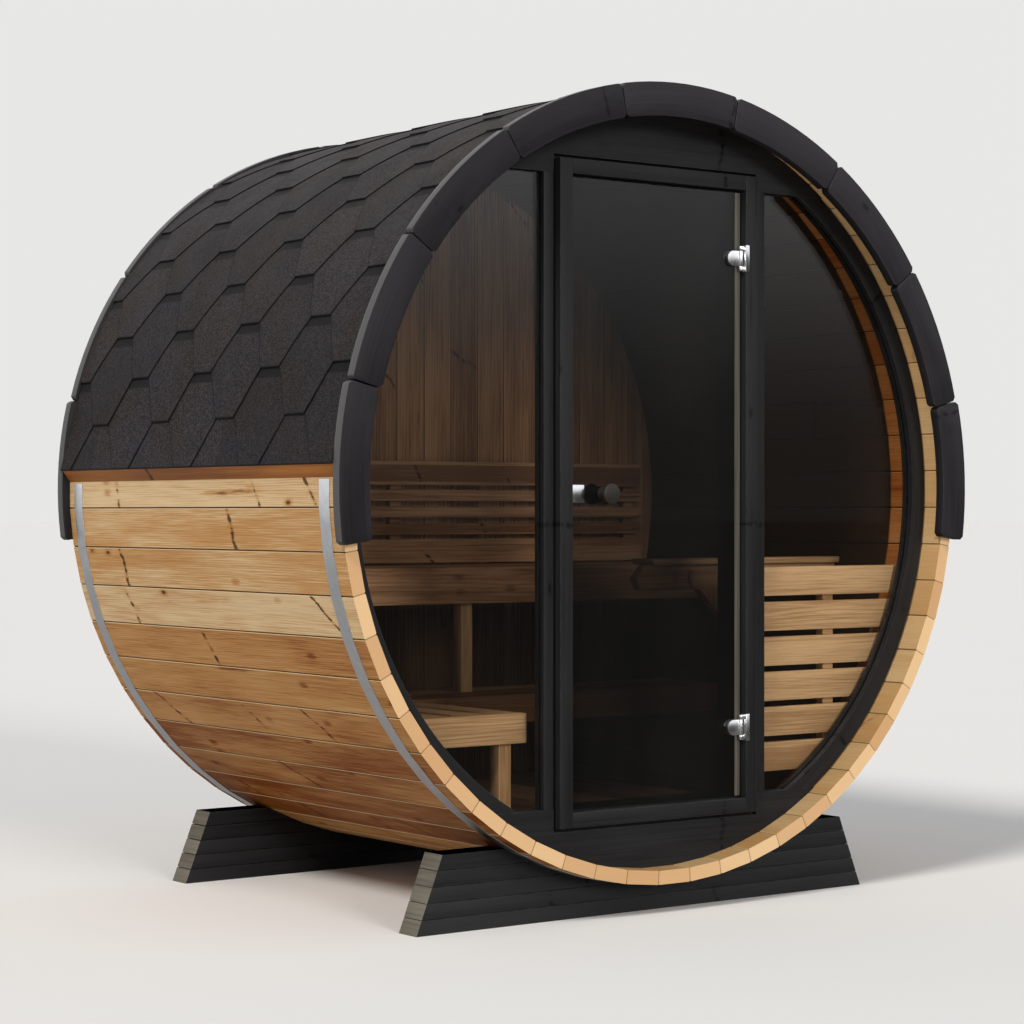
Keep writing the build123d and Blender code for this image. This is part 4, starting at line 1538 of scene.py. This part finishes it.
    def cap(self) -> Piece:
        """Lapped cap pieces along the ridge.

        Returns:
            The pieces as one.
        """
        parts = []
        length = self.cap_exposure + self.cap_lap
        for index in range(math.ceil((BACK_END - FRONT_END) / self.cap_exposure)):
            low = FRONT_END + index * self.cap_exposure
            high = min(low + length, BACK_END)
            deselect()
            bpy.ops.mesh.primitive_grid_add(x_subdivisions=8, y_subdivisions=2, size=1.0)
            bpy.context.object.scale = (2.0 * self.cap_half / self.radius, high - low, 1.0)
            bpy.context.object.location = (0.0, (low + high) / 2, 0.0)
            piece = placed_primitive(f"cap_{index}")
            row = MAP_ROW * (self.cap_row + index)
            self.write_map(piece, lambda spot: (0.0, (spot.y - low) / length + row))
            finish_modifier(piece, "SOLIDIFY", thickness=self.cap_thickness, offset=1.0)
            for vert in piece.data.vertices:
                raised = self.cap_lift + self.cap_thickness * (1.0 - (vert.co.y - low) / length)
                up, across = polar(self.radius + raised + vert.co.z, vert.co.x)
                vert.co = Vector((across, vert.co.y, AXIS_HEIGHT + up))
            parts.append(piece)
        return joined(parts, "ridge_cap")

    def build(self) -> None:
        """Lays the starters, the courses and the cap in place of the plain covers."""
        for side, label in ((1, "right"), (-1, "left")):
            starter = self.flat_sheet(f"starter_{side}", 0.0, self.starter_width, 0.0)
            parts = [self.lay(starter, 0, side, 0.0)]
            for row in range(self.courses):
                parts.append(self.lay(self.flat_course(row), row, side, self.lift if row else self.first_lift))
            covers = [f"roof_cover_{label}", f"roof_cover_upper_{label}"]
            if label == "right":
                covers.append("roof_cover_ridge")
            self.take(smoothed(joined(parts, f"shingles_{label}"), 20.0), "granule_shingle", *covers)
        self.take(self.cap(), "granule_shingle")


@dataclass
class EndTrims(Assembly):
    """The black boards round both ends, with their screws."""

    edge: float = 0.0026
    screw: Triple = (0.0032, 0.0016, 0.0016)
    screw_sunk: float = 0.0009
    screw_turn: float = 1.8
    screw_radii: tuple[float, float] = (0.953, 0.996)
    hand_reach: float = 0.004
    hand_turn: float = 0.45
    drawn_up: float = 98.0 / 99.0
    board_angle: float = 196.0 / 9.0
    first_angle: float = -8.0
    boards: int = 9
    flare: float = 0.008

    def screw_places(self, face: float, turn: Matrix) -> list[Matrix]:
        """Two screws near each end of every board, set by hand and so never quite in line.

        Args:
            face: The boards' face along Y.
            turn: The turn that points a screw out of that face.

        Returns:
            The places.
        """
        places = []
        hand = random.Random(5)
        for index in range(self.boards):
            start = self.first_angle + self.board_angle * index
            shift = self.flare * ((index == 0) - (index == self.boards - 1))
            for middle in (start + self.screw_turn, start + self.board_angle - self.screw_turn):
                for radius in self.screw_radii:
                    reach = radius + hand.uniform(-self.hand_reach, self.hand_reach)
                    angle = middle + hand.uniform(-self.hand_turn, self.hand_turn)
                    across, up = polar(reach, math.radians(angle))
                    places.append(Matrix.Translation((across + shift, face, AXIS_HEIGHT + up)) @ turn)
        return places

    def draw_up(self, obj: Piece) -> None:
        """Shortens every board a little along the ring, so that the lowest ends stand one degree higher.

        Args:
            obj: The ring of boards.
        """
        for vert in obj.data.vertices:
            across, up = vert.co.x, vert.co.z - AXIS_HEIGHT
            up, across = polar(math.hypot(across, up), math.atan2(across, up) * self.drawn_up)
            vert.co.x, vert.co.z = across, AXIS_HEIGHT + up

    def build(self) -> None:
        """Rounds the boards and sets their screws."""
        for name, turn in (("front_trim", FACING_FRONT), ("back_trim", FACING_BACK)):
            low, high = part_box(name)
            face = low.y + self.screw_sunk if turn is FACING_FRONT else high.y - self.screw_sunk
            self.draw_up(self.rounded_node(name, "black_trim", self.edge))
            screws = placed_copies(screw_seed(*self.screw), self.screw_places(face, turn), f"{name}_screws")
            self.take(screws, "blackened_screw")


@dataclass
class StrapsAndCradles(Assembly):
    """The steel bands round the barrel and the two stacks of boards that it rests on."""

    boards: int = 5
    gap: float = 0.0012
    edge: float = 0.0022
    strap_edge: float = 0.0004
    end_reach: float = 0.6
    end_slope: float = 0.75

    def build(self) -> None:
        """Rounds the bands and saws the cradles into boards, whose sawn ends have weathered."""
        for name in ("strap_front", "strap_back"):
            self.rounded_node(name, "galvanised_band", self.strap_edge, 1)
        for name in ("cradle_front", "cradle_back"):
            low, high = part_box(name)
            cuts = steps(low.z - self.gap / 2, high.z + self.gap / 2, self.boards)
            obj = self.put(boards_of(self.nodes[name], f"{name}_boards", UP, cuts, self.gap, self.edge), "black_cradle")
            obj.data.materials.append(self.finishes.materials["weathered_ends"])
            for face in obj.data.polygons:
                sawn = abs(face.center.x) > self.end_reach and abs(face.normal.x) > self.end_slope
                face.material_index = 1 if sawn else 0
            self.take(obj, "black_cradle", name)


@dataclass
class FrontWall(Assembly):
    """Header, sill, posts and ring members of the front wall, with its panes."""

    post_edge: float = 0.0012

    def build(self) -> None:
        """Rounds the posts and dresses the rings, header, sill and panes."""
        for side in ("left", "right"):
            self.rounded_node(f"wall_post_{side}", "black_upright", self.post_edge)
            self.dress("black_ring", f"wall_ring_{side}")
            self.dress("smoked_pane", f"window_glass_{side}")
        self.dress("black_level", "wall_header", "wall_sill")


@dataclass
class DoorSet(Assembly):
    """The door's frame, leaf, seal, knob, catch and hinges."""

    frame_edge: float = 0.0022
    catch_edge: float = 0.0008
    plate_edge: float = 0.0006
    clamp_edge: float = 0.0012
    outline: tuple[tuple[float, float], ...] = (
        (0.0165, 0.0), (0.0185, 0.002), (0.0180, 0.006), (0.0160, 0.012), (0.0155, 0.018), (0.0175, 0.024),
        (0.0225, 0.0285), (0.0252, 0.0315), (0.0260, 0.0350), (0.0258, 0.0385), (0.0235, 0.0400), (0.0, 0.0400),
    )

    def knob_half(self, name: str, middle: Vector, way: int) -> Piece:
        """One waisted half of the knob, turned on its own axis.

        Args:
            name: The piece's name.
            middle: The knob's middle on its glass face.
            way: -1 for the half in front of the glass and 1 for the one behind.

        Returns:
            The half.
        """
        deselect()
        bpy.ops.mesh.primitive_plane_add(size=0.001)
        obj = placed_primitive(name)
        edit(obj)
        bpy.ops.mesh.delete(type="VERT")
        mesh = bmesh.from_edit_mesh(obj.data)
        verts = [mesh.verts.new((middle.x + radius, middle.y + way * out, middle.z)) for radius, out in self.outline]
        for first, second in zip(verts, verts[1:]):
            mesh.edges.new((first, second)).select_set(True)
        for vert in verts:
            vert.select_set(True)
        bmesh.update_edit_mesh(obj.data)
        bpy.ops.mesh.spin(steps=40, angle=math.radians(360.0), center=middle, axis=DEEP)
        tidied(obj, 0.00005)
        return smoothed(obj, 40.0)

    def build(self) -> None:
        """Makes the frame, leaf and fittings."""
        for side in ("left", "right"):
            self.rounded_node(f"door_jamb_{side}", "black_upright", self.frame_edge)
        for name in ("door_head", "door_threshold"):
            self.rounded_node(name, "black_level", self.frame_edge)
        self.dress("smoked_leaf", "door_glass")
        self.dress("leaf_seal", "door_seal")
        low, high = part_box("door_knob")
        x, _, z = (low + high) / 2
        halves = []
        for name, way, face in zip(("knob_front", "knob_back"), (-1, 1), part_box("door_glass")):
            halves.append(self.knob_half(name, Vector((x, face.y, z)), way))
        self.take(joined(halves, "knob_turned"), "turned_knob", "door_knob", body="door")
        self.rounded_node("catch_plate", "polished_fitting", self.catch_edge, body="door")
        for level in ("upper", "lower"):
            self.rounded_node(f"{level}_hinge_plate", "polished_fitting", self.plate_edge)
            self.rounded_node(f"{level}_hinge_clamp", "polished_fitting", self.clamp_edge, body="door")


@dataclass
class Interior(Assembly):
    """Back wall, floor, benches, backrest and the guard, board by board."""

    board_edge: float = 0.003
    front_edge: float = 0.002
    bearer_edge: float = 0.0015
    seat: float = 0.025
    seat_gap: float = 0.008
    front_board: float = 0.028
    wall_boards: int = 20
    wall_half: float = 0.965
    wall_gap: float = 0.0015
    floor_boards: int = 10
    floor_half: float = 0.49
    floor_board: float = 0.022
    floor_gap: float = 0.003

    def fronted_top(self, node: str, count: int) -> Piece:
        """Saws a bench's seat into boards behind a front board that stays whole.

        Args:
            node: The CAD node.
            count: How many boards the seat has.

        Returns:
            The bench as one piece.
        """
        low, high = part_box(node)
        back_of_front = low.y + self.front_board
        board = cad_copy(self.nodes[node], f"{node}_front")
        keep_between(board, DEEP, None, back_of_front)
        self.put(rounded(board, self.front_edge), "pale_across")
        slab = cad_copy(self.nodes[node], f"{node}_slab")
        keep_between(slab, DEEP, back_of_front, None)
        under = copied(slab, f"{node}_under")
        keep_between(slab, UP, high.z - self.seat, None)
        cuts = steps(low.x, high.x, count)
        boards = boards_of(slab, f"{node}_boards", ACROSS, cuts, self.seat_gap, self.board_edge)
        bpy.data.objects.remove(slab)
        parts = [self.put(boards, "pale_along"), board]
        if keep_between(under, UP, None, high.z - self.seat):
            parts.append(self.put(rounded(under, self.bearer_edge), "pale_along"))
        else:
            bpy.data.objects.remove(under)
        return joined(parts, f"{node}_boards")

    def sawn_top(self, node: str, thickness: float, normal: Vector, cuts: list[float], gap: float, finish: str) -> None:
        """Stands a copy whose top slab is sawn into boards, and what carries it left whole, in for a node.

        Args:
            node: The CAD node.
            thickness: The slab's thickness.
            normal: The direction across the boards.
            cuts: The joints' places.
            gap: The gap between boards.
            finish: The finish of both.
        """
        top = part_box(node)[1].z - thickness
        slab = cad_copy(self.nodes[node], f"{node}_slab")
        keep_between(slab, UP, top, None)
        boards = boards_of(slab, f"{node}_boards", normal, cuts, gap, self.board_edge)
        bpy.data.objects.remove(slab)
        rest = cad_copy(self.nodes[node], f"{node}_rest")
        keep_between(rest, UP, None, top)
        parts = [self.put(boards, finish), self.put(rounded(rest, self.bearer_edge), finish)]
        self.take(joined(parts, f"{node}_boards"), finish, node)

    def build(self) -> None:
        """Makes every piece of the room."""
        cuts = steps(-self.wall_half, self.wall_half, self.wall_boards)
        wall = boards_of(self.nodes["back_wall"], "back_wall_boards", ACROSS, cuts, self.wall_gap, self.board_edge)
        self.take(wall, "thermo_wall", "back_wall")
        cuts = steps(-self.floor_half, self.floor_half, self.floor_boards)
        self.sawn_top("floor", self.floor_board, ACROSS, cuts, self.floor_gap, "thermo_floor")
        for node, count in (("upper_bench", 4), ("lower_bench_back", 3)):
            low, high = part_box(node)
            self.sawn_top(node, self.seat, DEEP, steps(low.y, high.y, count), self.seat_gap, "thermo_bench")
        self.take(self.fronted_top("lower_bench_left", 4), "pale_along", "lower_bench_left")
        for node, finish, edge in (
            ("backrest", "thermo_slats", self.board_edge),
            ("bench_legs", "pale_upright", self.front_edge),
            ("guard_screen", "pale_screen", self.board_edge),
            ("guard_rail", "thermo_slats", self.board_edge),
            ("guard_shelf", "pale_across", self.front_edge),
            ("guard_bracket", "thermo_upright", self.front_edge),
        ):
            self.rounded_node(node, finish, edge)


# Studio


@dataclass
class Studio:
    """Pale floor, soft lamps and the camera at the photograph's angle."""

    floor_size: float = 400.0
    camera_place: Triple = (-4.2256, -5.66, 1.013)
    camera_turn: float = -36.69
    lens: float = 90.84
    floor_colour: Colour = (0.86, 0.855, 0.85)
    mirrored_floor: Colour = (0.06, 0.06, 0.055)
    mirrored_floor_behind: Colour = (0.36, 0.36, 0.37)
    backdrop: Colour = (0.80, 0.80, 0.79)
    sky: Colour = (0.93, 0.96, 1.0)
    sky_strength: float = 0.40
    mirrored_sky: Colour = (0.96, 0.98, 1.0)
    mirrored_foot: Colour = (0.08, 0.08, 0.075)
    mirrored_strength: float = 1.5

    @staticmethod
    def ahead(place: Wire) -> Wire:
        """How far a place lies ahead of the door, seen a little from its left."""
        x, y, _ = place.split()
        return x * 0.6 - y * 0.8

    def build_floor(self) -> None:
        """Makes the floor, which keeps the object's shadow and meets the pale backdrop."""
        deselect()
        bpy.ops.mesh.primitive_plane_add(size=self.floor_size, location=(0.0, 0.0, 0.0))
        floor = placed_primitive("studio_floor")
        sheet = MaterialSheet("studio_floor_paint")
        spot = sheet.place()
        seen = sheet.mix(sheet.noise(spot, 3.0, scale=0.8), shade(self.floor_colour, 0.985), self.floor_colour)
        reflection = sheet.mix(self.ahead(spot).span(0.4, 2.5), self.mirrored_floor_behind, self.mirrored_floor)
        mirrored = Wire(sheet, sheet.add("ShaderNodeLightPath"), "Is Glossy Ray")
        sheet.surface(Base_Color=sheet.mix(mirrored, seen, reflection), Roughness=0.9, Specular_IOR_Level=0.0)
        put(floor, sheet.material)

    def build_world(self) -> None:
        """Makes even light all round, a pale backdrop, and a sky that mirrors see darken to its foot."""
        world = bpy.data.worlds.new("studio_world")
        world.use_nodes = True
        bpy.context.scene.world = world
        world.node_tree.nodes.clear()
        sheet = NodeSheet(world.node_tree)
        rays = sheet.add("ShaderNodeLightPath")
        way = sheet.place("Generated")
        sky = way.split()[2].span(0.02, 0.20).or_more(self.ahead(way).span(0.35, -0.25))
        mirrored = sheet.mix(sky, self.mirrored_foot, self.mirrored_sky)
        soft, glossy, seen = (
            Wire(sheet, sheet.add("ShaderNodeBackground", colour, strength))
            for colour, strength in (
                (self.sky, self.sky_strength), (mirrored, self.mirrored_strength), (self.backdrop, 1.0)
            )
        )
        light = Wire(sheet, sheet.add("ShaderNodeMixShader", Wire(sheet, rays, "Is Glossy Ray"), soft, glossy))
        share = sheet.add("ShaderNodeMixShader", Wire(sheet, rays, "Is Camera Ray"), light, seen)
        sheet.add("ShaderNodeOutputWorld", Wire(sheet, share))

    def build_lamp(self, name: str, come_from: Vector, spread: float, strength: float, colour: Colour) -> None:
        """Adds a soft distant lamp.

        Args:
            name: The lamp's name.
            come_from: The direction that its light comes from.
            spread: How wide it looks, in degrees.
            strength: Its strength.
            colour: Its colour.
        """
        data = bpy.data.lights.new(name, "SUN")
        data.energy = strength
        data.angle = math.radians(spread)
        data.color = colour
        lamp = bpy.data.objects.new(name, data)
        lamp.rotation_euler = come_from.to_track_quat("Z", "Y").to_euler()
        bpy.context.scene.collection.objects.link(lamp)

    def build_camera(self) -> None:
        """Sets the camera where the photograph was taken from."""
        data = bpy.data.cameras.new("studio_camera")
        data.lens = self.lens
        data.sensor_width = 36.0
        camera = bpy.data.objects.new("studio_camera", data)
        camera.location = self.camera_place
        camera.rotation_euler = (math.radians(90.0), 0.0, math.radians(self.camera_turn))
        bpy.context.scene.collection.objects.link(camera)
        bpy.context.scene.camera = camera

    def build(self) -> None:
        """Makes the whole studio."""
        self.build_camera()
        self.build_floor()
        self.build_world()
        self.build_lamp("key_lamp", Vector((-0.75, -0.30, 0.75)), 14.0, 1.95, (1.0, 0.965, 0.90))
        self.build_lamp("front_lamp", Vector((-0.10, -0.93, 0.27)), 18.0, 1.6, (1.0, 0.98, 0.94))
        bpy.context.scene.view_settings.view_transform = "Standard"


def main() -> None:
    """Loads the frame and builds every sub-assembly in order."""
    logging.basicConfig(level=logging.INFO, format="%(message)s")
    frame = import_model()
    Studio().build()
    finishes = Finishes()
    for kind in (StaveShell, ShingleRoof, EndTrims, StrapsAndCradles, FrontWall, DoorSet, Interior):
        assembly = kind(frame["nodes"], finishes)
        assembly.build()
        assembly.report()


if __name__ == "__main__":
    main()
